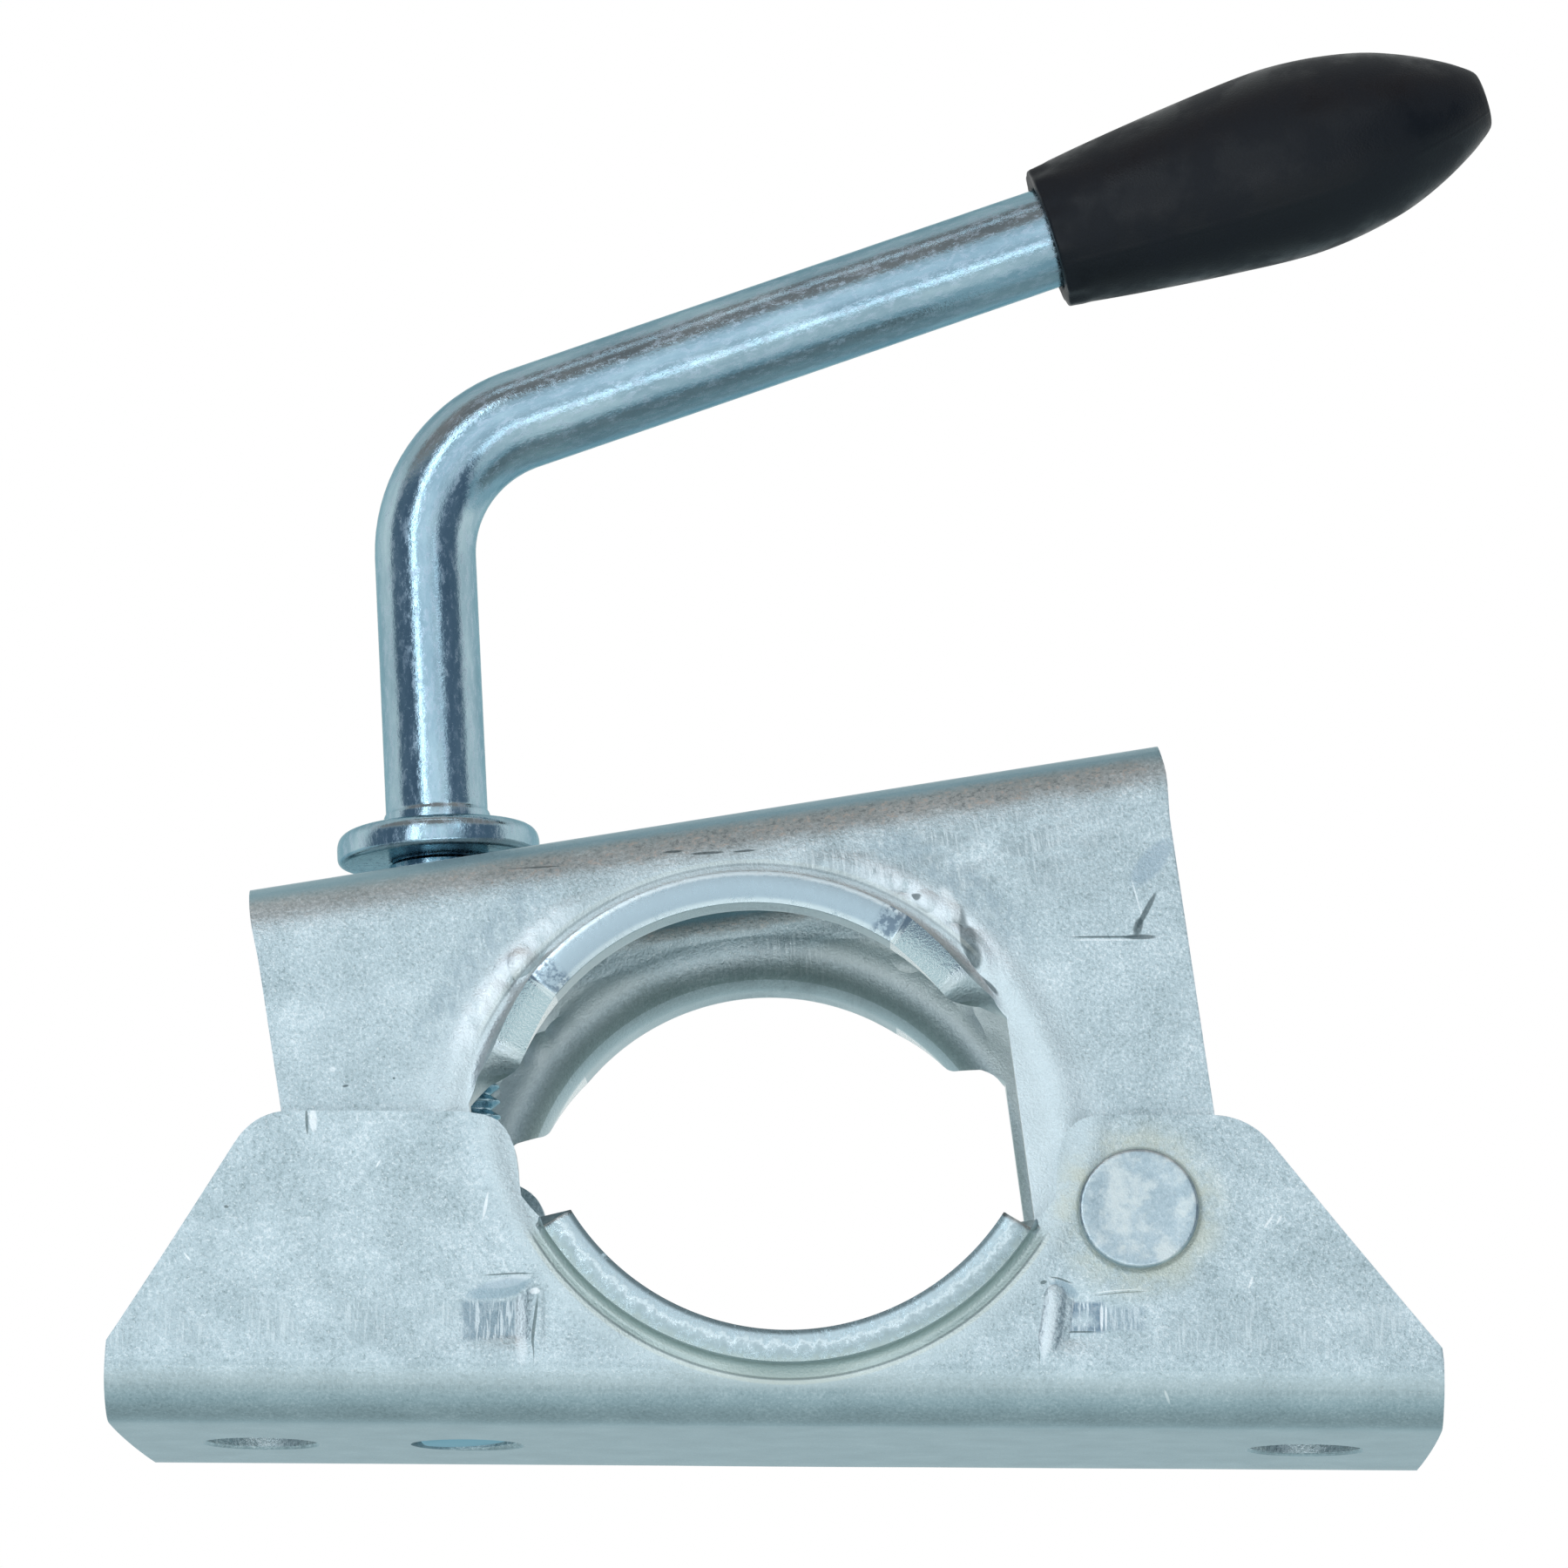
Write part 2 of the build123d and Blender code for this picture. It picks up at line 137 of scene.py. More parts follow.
# Shader nodes by the word that asks for them: Blender's kind, its settings, its inputs in order, its output
NODES = {
    "object": ("TexCoord", {}, (), "Object"),
    "kept": ("Attribute", {"attribute_name": "place"}, (), "Vector"),
    "scale": ("VectorMath", {"operation": "MULTIPLY"}, (0, 1), 0),
    "shift": ("VectorMath", {"operation": "SUBTRACT"}, (0, 1), 0),
    "length": ("VectorMath", {"operation": "LENGTH"}, (0,), 1),
    "turn_y": ("VectorRotate", {"rotation_type": "Y_AXIS"}, ("Vector", "Angle"), 0),
    "noise": ("TexNoise", {}, ("Vector", "Scale", "Detail", "Roughness"), 0),
    "ease": ("MapRange", {"interpolation_type": "SMOOTHSTEP"}, (0, 1, 2, 3, 4), 0),
    "ramp_over": ("MapRange", {}, (0, 1, 2, 3, 4), 0),
    "colours": ("ValToRGB", {}, (0,), 0),
    "mix": ("Mix", {"data_type": "RGBA"}, (6, 7, 0), 2),
    "blend": ("Mix", {}, (2, 3, 0), 0),
    "bump": ("Bump", {}, ("Height", "Strength", "Distance"), 0),
    "way": ("TexCoord", {}, (), "Generated"),
    "camera_sees": ("LightPath", {}, (), "Is Camera Ray"),
    "back": ("NewGeometry", {}, (), "Backfacing"),
    "clear": ("BsdfTransparent", {}, (), 0),
    "either": ("MixShader", {}, (0, 1, 2), 0),
}
NODES.update((axis, ("SeparateXYZ", {}, (0,), count)) for count, axis in enumerate("xyz"))
MATHS = ("add", "subtract", "multiply", "divide", "multiply_add", "absolute", "sqrt", "maximum", "arctan2")
NODES.update((word, ("Math", {"operation": word.upper()}, (0, 1, 2), 0)) for word in MATHS)

# Hatched patches on the base's flanges: middle, half size, and the ground's colour and amount
PRESS_PATCHES = [((-27.3, 9.3), (2.2, 1.7), "#6C8492", 0.6), ((29.4, 10.0), (1.4, 1.2), "#5A7488", 0.8),
                 ((33.0, 9.8), (1.6, 0.8), "#7F94A1", 0.45)]
# Heights of the broken lines along the base's bend
BEND_LINES = (5.35, 3.75)

# Marks on the flanges, some real nicks and pits and some painted sheen, highlights and shade in and round the
# die's pockets: middle in the sheet's own x and height, half sizes, and turn in degrees
# Painted sheen on the pockets' upright walls and ridge, and along the left pocket's ceiling
BASE_SHEEN = [(-24.0, 8.7, 0.8, 3.1, 0), (25.8, 9.3, 0.32, 3.2, -7), (-25.6, 13.1, 2.4, 0.35, 13)]
# Painted shade on the pockets' tilted ceilings
BASE_POCKET_SHADE = [(-26.3, 12.45, 3.1, 0.75, 13), (27.4, 12.75, 1.4, 0.6, -20)]
# Light nicks and scratches, and a painted highlight along the right pocket's ceiling edge
BASE_NICKS_AND_HIGHLIGHT = [
    (-44.3, 28.4, 0.35, 1.1, 4), (-27.6, 20.3, 0.16, 1.3, -14), (46.6, 19.1, 0.12, 0.7, -35),
    (47.6, 19.3, 0.1, 0.5, -30), (44.9, 13.3, 0.12, 0.6, -20), (37.0, 3.4, 0.12, 0.5, 30),
    (-56.0, 15.2, 0.1, 0.5, 40), (-38.0, 24.2, 0.1, 0.4, -30), (32.4, 12.5, 2.3, 0.05, 3),
    (-22.7, 12.1, 0.25, 0.25, 0), (30.9, 9.9, 0.14, 1.3, 0), (31.3, 9.9, 0.1, 1.2, 0),
]
# Painted shade along the pockets' edges, walls and ridge and on a nick's side, and a small dark pit
BASE_SHADE_AND_PITS = [
    (-44.9, 28.2, 0.14, 1.2, 4), (-52.4, 20.0, 0.22, 0.14, 0), (32.6, 12.28, 2.4, 0.05, 3),
    (-25.4, 13.75, 2.4, 0.08, 4), (-22.72, 8.6, 0.07, 3.0, -3), (26.9, 13.55, 1.1, 0.09, -12),
    (25.25, 8.4, 0.07, 2.8, -7), (28.8, 8.55, 1.5, 0.09, 0), (25.2, 13.3, 0.35, 0.2, 0),
]
BASE_SPOTS = [("#EDF3F4", 0.5, BASE_SHEEN), ("#7E9AA8", 0.5, BASE_POCKET_SHADE), ("#F4F7F6", 0.75, BASE_NICKS_AND_HIGHLIGHT),
              ("#4F5F5E", 0.7, BASE_SHADE_AND_PITS)]
# Dark scratches and lines, and painted shade in and beside the torn pits
JAW_SCRATCHES_AND_SHADE = [
    (-72.9, 21.4, 0.3, 0.12, 0), (-68.2, 21.4, 0.12, 0.12, 0), (1.4, 18.68, 3.4, 0.1, 9),
    (4.6, 19.2, 1.5, 0.24, 9), (4.6, 18.2, 0.42, 0.9, 25), (5.6, 16.8, 0.26, 2.0, 37),
    (-11.9, 15.9, 0.75, 2.3, -16), (-11.2, 18.6, 0.45, 1.1, -10), (-10.6, 21.6, 0.4, 1.2, -35),
    (-16.9, 11.2, 0.5, 0.16, 25), (-15.8, 12.0, 0.4, 0.2, 30), (-55.6, 13.7, 0.35, 0.9, 20),
    (-53.0, 12.4, 0.8, 0.25, -38), (-52.4, 3.75, 2.9, 0.07, 5), (-38.4, 4.3, 0.9, 0.1, 4),
    (-35.2, 4.9, 1.6, 0.12, 5), (-31.6, 5.2, 1.1, 0.1, 3),
]
JAW_BLUE = [(6.9, 12.2, 1.1, 2.8, 49)]
# Painted highlights on the raised tears and ripples and along a scratch's edge, and a few light scratches
JAW_HIGHLIGHTS_AND_SCRATCHES = [
    (1.2, 18.95, 3.2, 0.08, 9), (4.9, 15.2, 0.08, 1.6, -6), (-73.9, 19.6, 0.3, 0.25, 0),
    (-54.3, 12.1, 1.2, 0.5, -25), (-12.9, 13.0, 0.5, 1.6, -20), (-57.6, 14.6, 0.5, 2.4, 40),
]

# Where the lips' sheared ends begin outwards, and their faces' reach from the saddle's middle
LIP_ENDS, LIP_FACE = (27.45, 27.65), (24.2, 27.2)

# Sheared ends of the lips: colours from the tube outwards and how far they wander in millimetres, the tint
# by the tube, gloss and relief, and whether the facets towards the lip's ends are torn, with a painted
# highlight on them and painted shade beside them
BASE_FACE = {
    "uneven": 3.0, "rough": (0.22, 0.38), "relief": 1.3, "torn": False, "rim": "#4F5F62",
    "stops": [(0.0, "#A9BABF"), (0.2, "#B9CACF"), (0.36, "#B6C6CA"), (0.47, "#D6E1E2"), (0.58, "#B1C0C3"),
              (0.8, "#9FAFB1"), (1.0, "#A8B6B3")],
}
JAW_FACE = {
    "uneven": 0.45, "rough": (0.26, 0.34), "relief": 0.4, "torn": True, "rim": "#C9D5D5",
    "stops": [(0.0, "#94A5AB"), (0.12, "#A9BAC1"), (0.84, "#ACBDC4"), (0.93, "#DFEAEC"), (1.0, "#C4D2D6")],
}

# Lamps: name, place and size in metres, and the level at which each shines
SOFTBOXES = [
    ("left_strip", (-0.62, -1.35, 0.45), (0.15, 1.5), 4.4),
    ("right_strip", (0.62, -1.3, 1.0), (0.18, 1.1), 1.4),
    ("front_window", (-0.12, -1.55, 0.35), (0.8, 0.6), 0.27),
    ("low_strip", (0.1, -1.42, -0.4), (1.3, 0.17), 2.0),
    ("overhead", (-0.1, -0.6, 1.45), (1.2, 0.1), 1.6),
]
AIM = (0.0, 0.0, 0.06)

# Floor: half its width in metres, and its depth under the object in millimetres
FLOOR_HALF, FLOOR_DROP = 3.0, 0.05


def linear(colour):
    """An sRGB hex colour as linear red, green, blue and alpha."""
    srgb = [int(colour[i:i + 2], 16) / 255 for i in (1, 3, 5)]
    return tuple(c / 12.92 if c <= 0.04045 else ((c + 0.055) / 1.055) ** 2.4 for c in srgb) + (1.0,)


def unit(vector):
    return vector / np.linalg.norm(vector, axis=-1, keepdims=True)


def grid_mesh(name, points, wrap_columns=False, place=None):
    """A mesh from a grid of points in millimetres; its poles and its seam are merged.

    Faces join each point to the next in its row and column, and the last column to the first where it wraps.
    The place of each point before it was bent is kept as an attribute, in millimetres.
    """
    rows, columns = points.shape[:2]
    last_column = columns if wrap_columns else columns - 1
    row, column = np.meshgrid(np.arange(rows - 1), np.arange(last_column), indexing="ij")
    next_row, next_column = row + 1, (column + 1) % columns
    quads = np.stack([row * columns + column, row * columns + next_column,
                      next_row * columns + next_column, next_row * columns + column], axis=-1).reshape(-1, 4)
    mesh = bpy.data.meshes.new(name)
    mesh.from_pydata(points.reshape(-1, 3) * MM, [], quads)
    if place is not None:
        kept = mesh.attributes.new("place", "FLOAT_VECTOR", "POINT")
        kept.data.foreach_set("vector", place.astype(np.float32).ravel())
    merge(mesh)
    return mesh


def merge(mesh, recalculate=False):
    """Join points in one place, which closes poles and seams, and turn the faces outwards where asked."""
    shape = bmesh.new()
    shape.from_mesh(mesh)
    bmesh.ops.remove_doubles(shape, verts=shape.verts, dist=MERGE_WITHIN)
    if recalculate:
        bmesh.ops.recalc_face_normals(shape, faces=shape.faces)
    shape.to_mesh(mesh)
    shape.free()


def link(name, mesh, finish):
    """An object at the origin that holds the mesh, smooth but for its sharp edges, with one material."""
    piece = bpy.data.objects.new(name, mesh)
    bpy.context.scene.collection.objects.link(piece)
    mesh.materials.append(finish)
    mesh.polygons.foreach_set("use_smooth", np.full(len(mesh.polygons), True))
    mesh.set_sharp_from_angle(angle=math.radians(SMOOTH_BELOW))
    return piece


def applied(piece):
    """Make the result of a piece's modifiers its mesh, and drop the modifiers."""
    shape = bpy.data.meshes.new_from_object(piece.evaluated_get(bpy.context.evaluated_depsgraph_get()))
    piece.modifiers.clear()
    piece.data = shape


def rounded(corners, radii, steps=8):
    """A path through the corners, each inner corner replaced by an arc that starts its radius before it."""
    corners = np.array(corners, float)
    path = [corners[0]]
    for before, corner, after, r in zip(corners, corners[1:], corners[2:], radii):
        start = corner + unit(before - corner) * r
        end = corner + unit(after - corner) * r
        t = np.linspace(0, 1, steps)[:, None]
        path.extend((1 - t) ** 2 * start + 2 * t * (1 - t) * corner + t ** 2 * end)
    path.append(corners[-1])
    return np.array(path)


def turned(name, profile, origin, axis, finish, around):
    """A lathe surface: each profile point is a radius and a height, turned about the axis from the origin."""
    profile = np.array(profile, float)
    axis = unit(np.array(axis, float))
    first = np.array([1.0, 0.0, 0.0]) if abs(axis[1]) > 0.9 else unit(np.cross(DEPTH, axis))
    second = np.cross(axis, first)
    angle = np.linspace(0, 2 * math.pi, around, endpoint=False)
    radius = profile[:, :1]
    height = np.repeat(profile[:, 1:], around, axis=1)
    flat = np.stack([radius * np.cos(angle), radius * np.sin(angle), height], axis=-1)
    points = np.array(origin) + flat[..., :1] * first + flat[..., 1:2] * second + height[..., None] * axis
    return link(name, grid_mesh(name, points, wrap_columns=True, place=flat), finish)


def outline_columns(corners, radii, feet):
    """Points along a rounded outline, and the place of each column's foot on the bend line below it."""
    path = rounded(corners, radii)
    length = np.concatenate([[0], np.cumsum(np.linalg.norm(np.diff(path, axis=0), axis=1))])
    at = np.linspace(0, length[-1], int(length[-1] / OUTLINE_STEP))
    points = np.stack([np.interp(at, length, path[:, i]) for i in (0, 1)], axis=1)
    keys = [length[np.argmin(np.linalg.norm(path - corner, axis=1))] for corner in np.array(corners, float)]
    return points, np.interp(at, keys, feet)


def folded_sheet(form, dents):
    """The middle surface of a pressed channel with a lip round its saddle, as rows of points.

    Columns run from the web's middle to the flange's edge. In a flange each column is a straight line from
    its foot on the bend to its root. From the root inwards the sheet is folded: at a length a past the root
    its turn is a / fold up to a quarter turn, so it lies at the radius root - fold * sin(turn) from the
    tube's axis and fold * (1 - cos(turn)) further out, and then it runs straight out. Towards the lip's ends
    the folded place is mixed with the flat one.
    """
    half, root, fold = form["half"], form["root"], form["fold"]
    middle_x, middle_z = form["saddle"]
    bend_top, plane = SHEET + BEND, half - SHEET / 2
    edge_of = lambda key, angle: np.interp(np.abs(angle), *np.array(form[key], float).T)
    span = form["span"]
    inner = np.linspace(-FINE_FROM, FINE_FROM, LIP_COLUMNS)
    outer = np.linspace(FINE_FROM, span, int((span - FINE_FROM) / FINE_STEP))[1:]
    angle = np.concatenate([-outer[::-1], inner, outer])
    turn = np.radians(angle)
    foot = middle_x + form["reach"] * root * np.sin(turn)
    roots = np.stack([middle_x + root * np.sin(turn), middle_z - root * np.cos(turn)], axis=1)
    left, left_foot = outline_columns(form["left"], form["left_round"], (*form["left_foot"], foot[0]))
    right, right_foot = outline_columns(form["right"], form["right_round"], (foot[-1], *form["right_foot"]))

    gap = root - edge_of("edge", span)

    def inset(edge, feet, towards_saddle):
        """Step in from the outline: down its column by the channel's end, square to it by the saddle."""
        down = np.stack([feet, np.full(len(feet), bend_top)], axis=1) - edge
        reach = np.linalg.norm(down, axis=1, keepdims=True)
        way = unit(np.gradient(edge, axis=0))
        square = np.stack([way[:, 1], -way[:, 0]], axis=1)
        mix = np.clip(towards_saddle * 2.5 - 0.9, 0, 1)[:, None]
        return edge + unit(down / reach * (1 - mix) + square * mix) * np.minimum(INSET_SHARE * reach, gap)

    feet = np.concatenate([left_foot[:-1], foot, right_foot[1:]])
    left_root = inset(left, left_foot, np.linspace(0, 1, len(left)))[:-1]
    right_root = inset(right, right_foot, np.linspace(1, 0, len(right)))[1:]
    all_roots = np.concatenate([left_root, roots, right_root])
    foot_z = np.minimum(bend_top, all_roots[:, 1] - FOOT_GAP)
    foot_z[:len(left_root)] = bend_top
    foot_z[len(foot_z) - len(right_root):] = bend_top

    t = np.linspace(0, 1, FLANGE_ROWS)[1:, None]
    flat = t ** ROW_EASE
    flat_x = feet + flat * (all_roots[:, 0] - feet)
    flat_z = foot_z + flat * (all_roots[:, 1] - foot_z)

    t = np.linspace(0, 1, LIP_ROWS)[1:, None]
    full = fold * math.pi / 2 + form["stand"] - plane - fold
    a = t * full * edge_of("lip", angle)
    bent = np.minimum(a / fold, math.pi / 2)
    folded = edge_of("folded", angle)
    flat_radius = root + t * (edge_of("edge", angle) - root)
    radius = folded * (root - fold * np.sin(bent)) + (1 - folded) * flat_radius
    out = folded * (fold * (1 - np.cos(bent)) + np.maximum(a - fold * math.pi / 2, 0))
    lip_x, lip_z = middle_x + radius * np.sin(turn), middle_z - radius * np.cos(turn)
    ears = [(left[:-1], left_root), (right[1:], right_root)]
    ear_x = [r[:, 0] + t * (e[:, 0] - r[:, 0]) for e, r in ears]
    ear_z = [r[:, 1] + t * (e[:, 1] - r[:, 1]) for e, r in ears]
    fold_x = np.concatenate([ear_x[0], lip_x, ear_x[1]], axis=1)
    fold_z = np.concatenate([ear_z[0], lip_z, ear_z[1]], axis=1)
    fold_out = np.concatenate([0 * ear_x[0], out, 0 * ear_x[1]], axis=1)

    x, z = np.concatenate([flat_x, fold_x]), np.concatenate([flat_z, fold_z])
    out = np.concatenate([0 * flat_x, fold_out])
    below = np.clip(bend_top - z, 0, WEB_BEND)
    y = plane - (WEB_BEND - np.sqrt(WEB_BEND ** 2 - below ** 2)) + out
    y = y + dents(x, z) * np.clip((z - foot_z) / DENT_FADE, 0, 1)
    beta = np.linspace(0, 1, BEND_ROWS)[:, None] * np.arccos((bend_top - foot_z) / WEB_BEND)
    bend_z = bend_top - WEB_BEND * np.cos(beta)
    bend_y = half - bend_top + WEB_BEND * np.sin(beta)
    web_y = np.linspace(0, half - bend_top, WEB_ROWS)[:-1, None] + 0 * feet
    x = np.concatenate([feet + 0 * web_y, feet + 0 * bend_z, x])
    z = np.concatenate([SHEET / 2 + 0 * web_y, bend_z, z])
    y = np.concatenate([web_y, bend_y, y])
    x = x + bowed(form, x, y, z)
    near = np.stack([x, -y, z], axis=-1)[::-1]
    return np.concatenate([near, np.stack([x, y, z], axis=-1)[1:]])


def bowed(form, x, y, z):
    """How far the sheet's ends stand out: a half ellipse across the channel, and a swelling along the bend.

    Both fade in by the square of the distance past the place where the end's flange starts to move.
    """
    across = np.sqrt(np.maximum(0, 1 - (y / form["half"]) ** 2))
    swelling = np.exp(-((z - SWELL_HEIGHT) / SWELL_WIDTH) ** 2)
    shift = 0
    for key, side, start in (("left_bow", -1, form["bow_from"][0]), ("right_bow", 1, form["bow_from"][1])):
        bow, bulge = form[key]
        near = np.clip(side * (x - start) / BOW_LENGTH, 0, 1) ** 2
        shift = shift + side * near * (bow * across + bulge * swelling)
    return shift


def pressed_sheet(name, form, dents, finish, holes, placed=np.asarray):
    """A channel: its placed middle surface given its thickness and rounded edges, and its holes cut."""
    rows = folded_sheet(form, dents)
    piece = link(name, grid_mesh(name, placed(rows), place=rows), finish)
    wall = piece.modifiers.new("wall", "SOLIDIFY")
    wall.thickness, wall.offset = SHEET * MM, 0.0
    edge = piece.modifiers.new("edge", "BEVEL")
    edge.width, edge.segments = EDGE_ROUND * MM, 2
    edge.limit_method, edge.angle_limit = "ANGLE", math.radians(EDGE_ANGLE)
    applied(piece)
    for cutter in holes:
        cut = piece.modifiers.new("hole", "BOOLEAN")
        cut.operation, cut.solver, cut.object = "DIFFERENCE", "EXACT", cutter
    applied(piece)
    for cutter in holes:
        bpy.data.objects.remove(cutter)
    piece.data.set_sharp_from_angle(angle=math.radians(CUT_SMOOTH_BELOW))
    return piece


def drill(radius, low, high, origin, axis, flare=0.3):
    """A cutter for a round hole between two heights on its axis, flared at both ends to break the edges."""
    reach = 2.0
    profile = [(0, low - reach), (radius + reach + flare, low - reach), (radius, low + flare),
               (radius, high - flare), (radius + reach + flare, high + reach), (0, high + reach)]
    cutter = turned("cutter", profile[::-1], origin, axis, SHEET_FINISH, around=96)
    merge(cutter.data, recalculate=True)
    return cutter


def jaw_place(rows):
    """The jaw's own place, upside down from its web, turned about the rivet to where the photo shows it."""
    turn = math.radians(-JAW_CLOSED)
    along, up = rows[..., 0], JAW_TOP - rows[..., 2]
    x = RIVET[0] + along * math.cos(turn) + up * math.sin(turn)
    z = RIVET[1] - along * math.sin(turn) + up * math.cos(turn)
    return np.stack([x, rows[..., 1], z], axis=-1)


def waves(x, z, size, seed):
    """Smooth unevenness about the given size across, from eight sine waves in seeded directions."""
    draw = np.random.default_rng(seed)
    total = 0
    for _ in range(8):
        way, phase = draw.uniform(0, 2 * math.pi), draw.uniform(0, 2 * math.pi)
        total = total + np.sin((x * math.cos(way) + z * math.sin(way)) * 2 * math.pi / size + phase)
    return total / 8


def hollow(x, z, middle, size, turn):
    """A smooth bump: one at its middle and about a third at its size away, which is turned in degrees."""
    c, q = math.cos(math.radians(turn)), math.sin(math.radians(turn))
    u = ((x - middle[0]) * c + (z - middle[1]) * q) / size[0]
    v = ((z - middle[1]) * c - (x - middle[0]) * q) / size[1]
    return np.exp(-u * u - v * v)


def base_dents(x, z):
    """Slightly uneven flanges, swollen round the saddle, with the die's pocket beside each end of the lip.

    Each is deepest at its upright wall, where it stops short, and runs out flat towards the channel's end.
    """
    shape = 0.05 * waves(x, z, 17, 3)
    from_tube = np.hypot(x - BASE["saddle"][0], z - BASE["saddle"][1])
    shape = shape + 0.22 * np.exp(-((from_tube - BASE["root"] - 1.0) / 1.2) ** 2)
    for side, wall, lean, depth, reach, ridge in POCKETS:
        past = side * (x - wall) - lean * (z - 9.0)
        ceiling = 13.75 - 0.26 * np.clip(past, 0, 8)
        under = np.clip((ceiling - z) / 1.7, 0, 1) * np.clip((z - 5.0) / 2.8, 0, 1)
        inside = np.clip(past / 1.5, 0, 1) * np.exp(-(np.maximum(past, 0) / reach) ** 2)
        shape = shape - depth * under * inside
        upright = np.clip((12.9 - z) / 0.8, 0, 1) * np.clip((z - 5.2) / 1.0, 0, 1)
        shape = shape + ridge * upright * np.exp(-((past + RIDGE_WIDTH) / RIDGE_WIDTH) ** 2)
    return shape


def jaw_dents(x, z):
    """Slightly uneven flanges, swollen round the saddle, with ripples and tears by the ends of the lips."""
    shape = 0.05 * waves(x, z, 19, 5)
    from_tube = np.hypot(x - JAW["saddle"][0], z - JAW["saddle"][1])
    shape = shape + 0.2 * np.exp(-((from_tube - JAW["root"] - 1.3) / 1.3) ** 2)
    angle = np.degrees(np.arctan2(x - JAW["saddle"][0], JAW["saddle"][1] - z))
    beside = np.exp(-((from_tube - 30.1) / 1.2) ** 2)
    drawn = np.exp(-((angle + 49.0) / 9.0) ** 2) + np.exp(-((angle - 46.0) / 8.0) ** 2)
    shape = shape + 0.22 * waves(x, z, 1.9, 8) * beside * drawn
    for height, middle, size, turn in TEARS:
        shape = shape + height * hollow(x, z, middle, size, turn)
    return shape


def make_base():
    """The base: its sheet with two mounting holes, the screw's hole and the rivet's."""
    holes = [drill(BASE_HOLE_R, 0, SHEET, (side * BASE_HOLE_X, 0, 0), (0, 0, 1)) for side in (-1, 1)]
    holes.append(drill(SCREW_HOLE_R, 0, SHEET, SCREW_ORIGIN, SCREW_DIR, flare=0.2))
    holes.append(drill(RIVET_R, -PIN_REACH, PIN_REACH, PIN, DEPTH))
    base = pressed_sheet("base_sheet_folded", BASE, base_dents, SHEET_FINISH, holes)
    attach(base, "base")
    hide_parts("base_bracket")


def make_jaw():
    """The jaw: its sheet with the rivet's holes and the screw's slot."""
    holes = [drill(RIVET_R, -PIN_REACH, PIN_REACH, PIN, DEPTH), slot_cutter()]
    jaw = pressed_sheet("jaw_sheet_folded", JAW, jaw_dents, JAW_FINISH, holes, placed=jaw_place)
    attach(jaw, "jaw")
    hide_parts("clamp_jaw")


def along_curve(name, finish, profile, centres, first, second, swell, around=96):
    """A tube: rows of a radius and a length, each a ring about its own centre in its own two directions.

    The swell adds to the radius by the length and the angle. The kept place is that of the straightened tube.
    """
    angle = np.linspace(0, 2 * math.pi, around, endpoint=False)
    radius = np.repeat(profile[:, :1], around, axis=1) + swell(profile[:, 1:], angle[None, :])
    length = np.repeat(profile[:, 1:], around, axis=1)
    flat = np.stack([radius * np.cos(angle), radius * np.sin(angle), length], axis=-1)
    points = centres[:, None] + flat[..., :1] * first + flat[..., 1:2] * second
    return link(name, grid_mesh(name, points, wrap_columns=True, place=flat), finish)


def screw_thread(length, angle):
    """A right-handed thread: how far its groove lies inside the crest, by the distance to the nearest one."""
    phase = (length / THREAD_PITCH - angle / (2 * math.pi)) % 1.0
    groove = 1 - np.clip(1.15 - 2.6 * np.abs(phase - 0.5), 0, 1)
    fade = np.clip((THREAD_TOP - length) / THREAD_PITCH, 0, 1)
    return -THREAD_DEPTH * groove * fade


def rod_swell(length, angle):
    """The thread, chamfered at its start, and above it a rod that is barely out of round."""
    chamfer = np.minimum(0, length - ROD_START - 1.0)
    inside = (length > ROD_START) & (length < THREAD_TOP)
    thread = np.where(inside, np.minimum(screw_thread(length, angle), chamfer), 0)
    return thread + 0.025 * np.sin(2 * angle + 0.06 * length) * (length > FOOT + FOOT_HEIGHT)


def make_rod():
    """The rod from its threaded end up the screw's axis, round the bend and along the arm, in one skin."""
    corner = ARM_CORNER / math.cos(SCREW_LEAN)
    turn = math.pi / 2 + SCREW_LEAN - ARM_RISE
    setback = ARM_BEND * math.tan(turn / 2)
    bend_start, bend_end = corner - setback, corner - setback + ARM_BEND * turn
    end = bend_end + ARM_REACH - setback
    steps = [(0, ROD_START), (3.7, ROD_START)]
    steps += [(THREAD_R, at) for at in np.linspace(ROD_START + 0.05, THREAD_TOP + 0.1, 500)]
    neck, collar_top = FOOT - NECK_LENGTH, FOOT + FOOT_HEIGHT
    steps += [(THREAD_R, neck - 0.4), (NECK_R, neck - 0.05), (NECK_R, FOOT - 0.02), (FOOT_R - 0.2, FOOT),
              (FOOT_R, FOOT + 0.15), (FOOT_R, collar_top - 0.3), (FOOT_R - 0.08, collar_top - 0.08),
              (ROD_R, collar_top + 0.12)]
    steps += [(ROD_R, at) for at in np.linspace(collar_top + 0.4, end - 0.5, 130)]
    steps += [(ROD_R - 0.4, end), (0, end)]
    profile = np.array(steps)
    length = profile[:, 1]
    turned_by = np.clip((length - bend_start) / ARM_BEND, 0, turn)
    heading = math.pi / 2 + SCREW_LEAN - turned_by
    way = np.stack([np.cos(heading), 0 * heading, np.sin(heading)], axis=1)
    across = np.stack([way[:, 2], 0 * heading, -way[:, 0]], axis=1)
    side = np.array([SCREW_DIR[2], 0, -SCREW_DIR[0]])
    arc_middle = SCREW_ORIGIN + SCREW_DIR * bend_start + side * ARM_BEND
    on_arc = arc_middle - across * ARM_BEND
    straight = SCREW_ORIGIN + SCREW_DIR * length[:, None]
    past_bend = np.maximum(length - bend_end, 0)[:, None]
    centres = np.where((length > bend_start)[:, None], on_arc + way * past_bend, straight)
    rod = along_curve("screw_rod_threaded", ROD_FINISH, profile, centres, across[:, None], DEPTH, rod_swell)
    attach(rod, "handle")
    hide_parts("screw_rod")


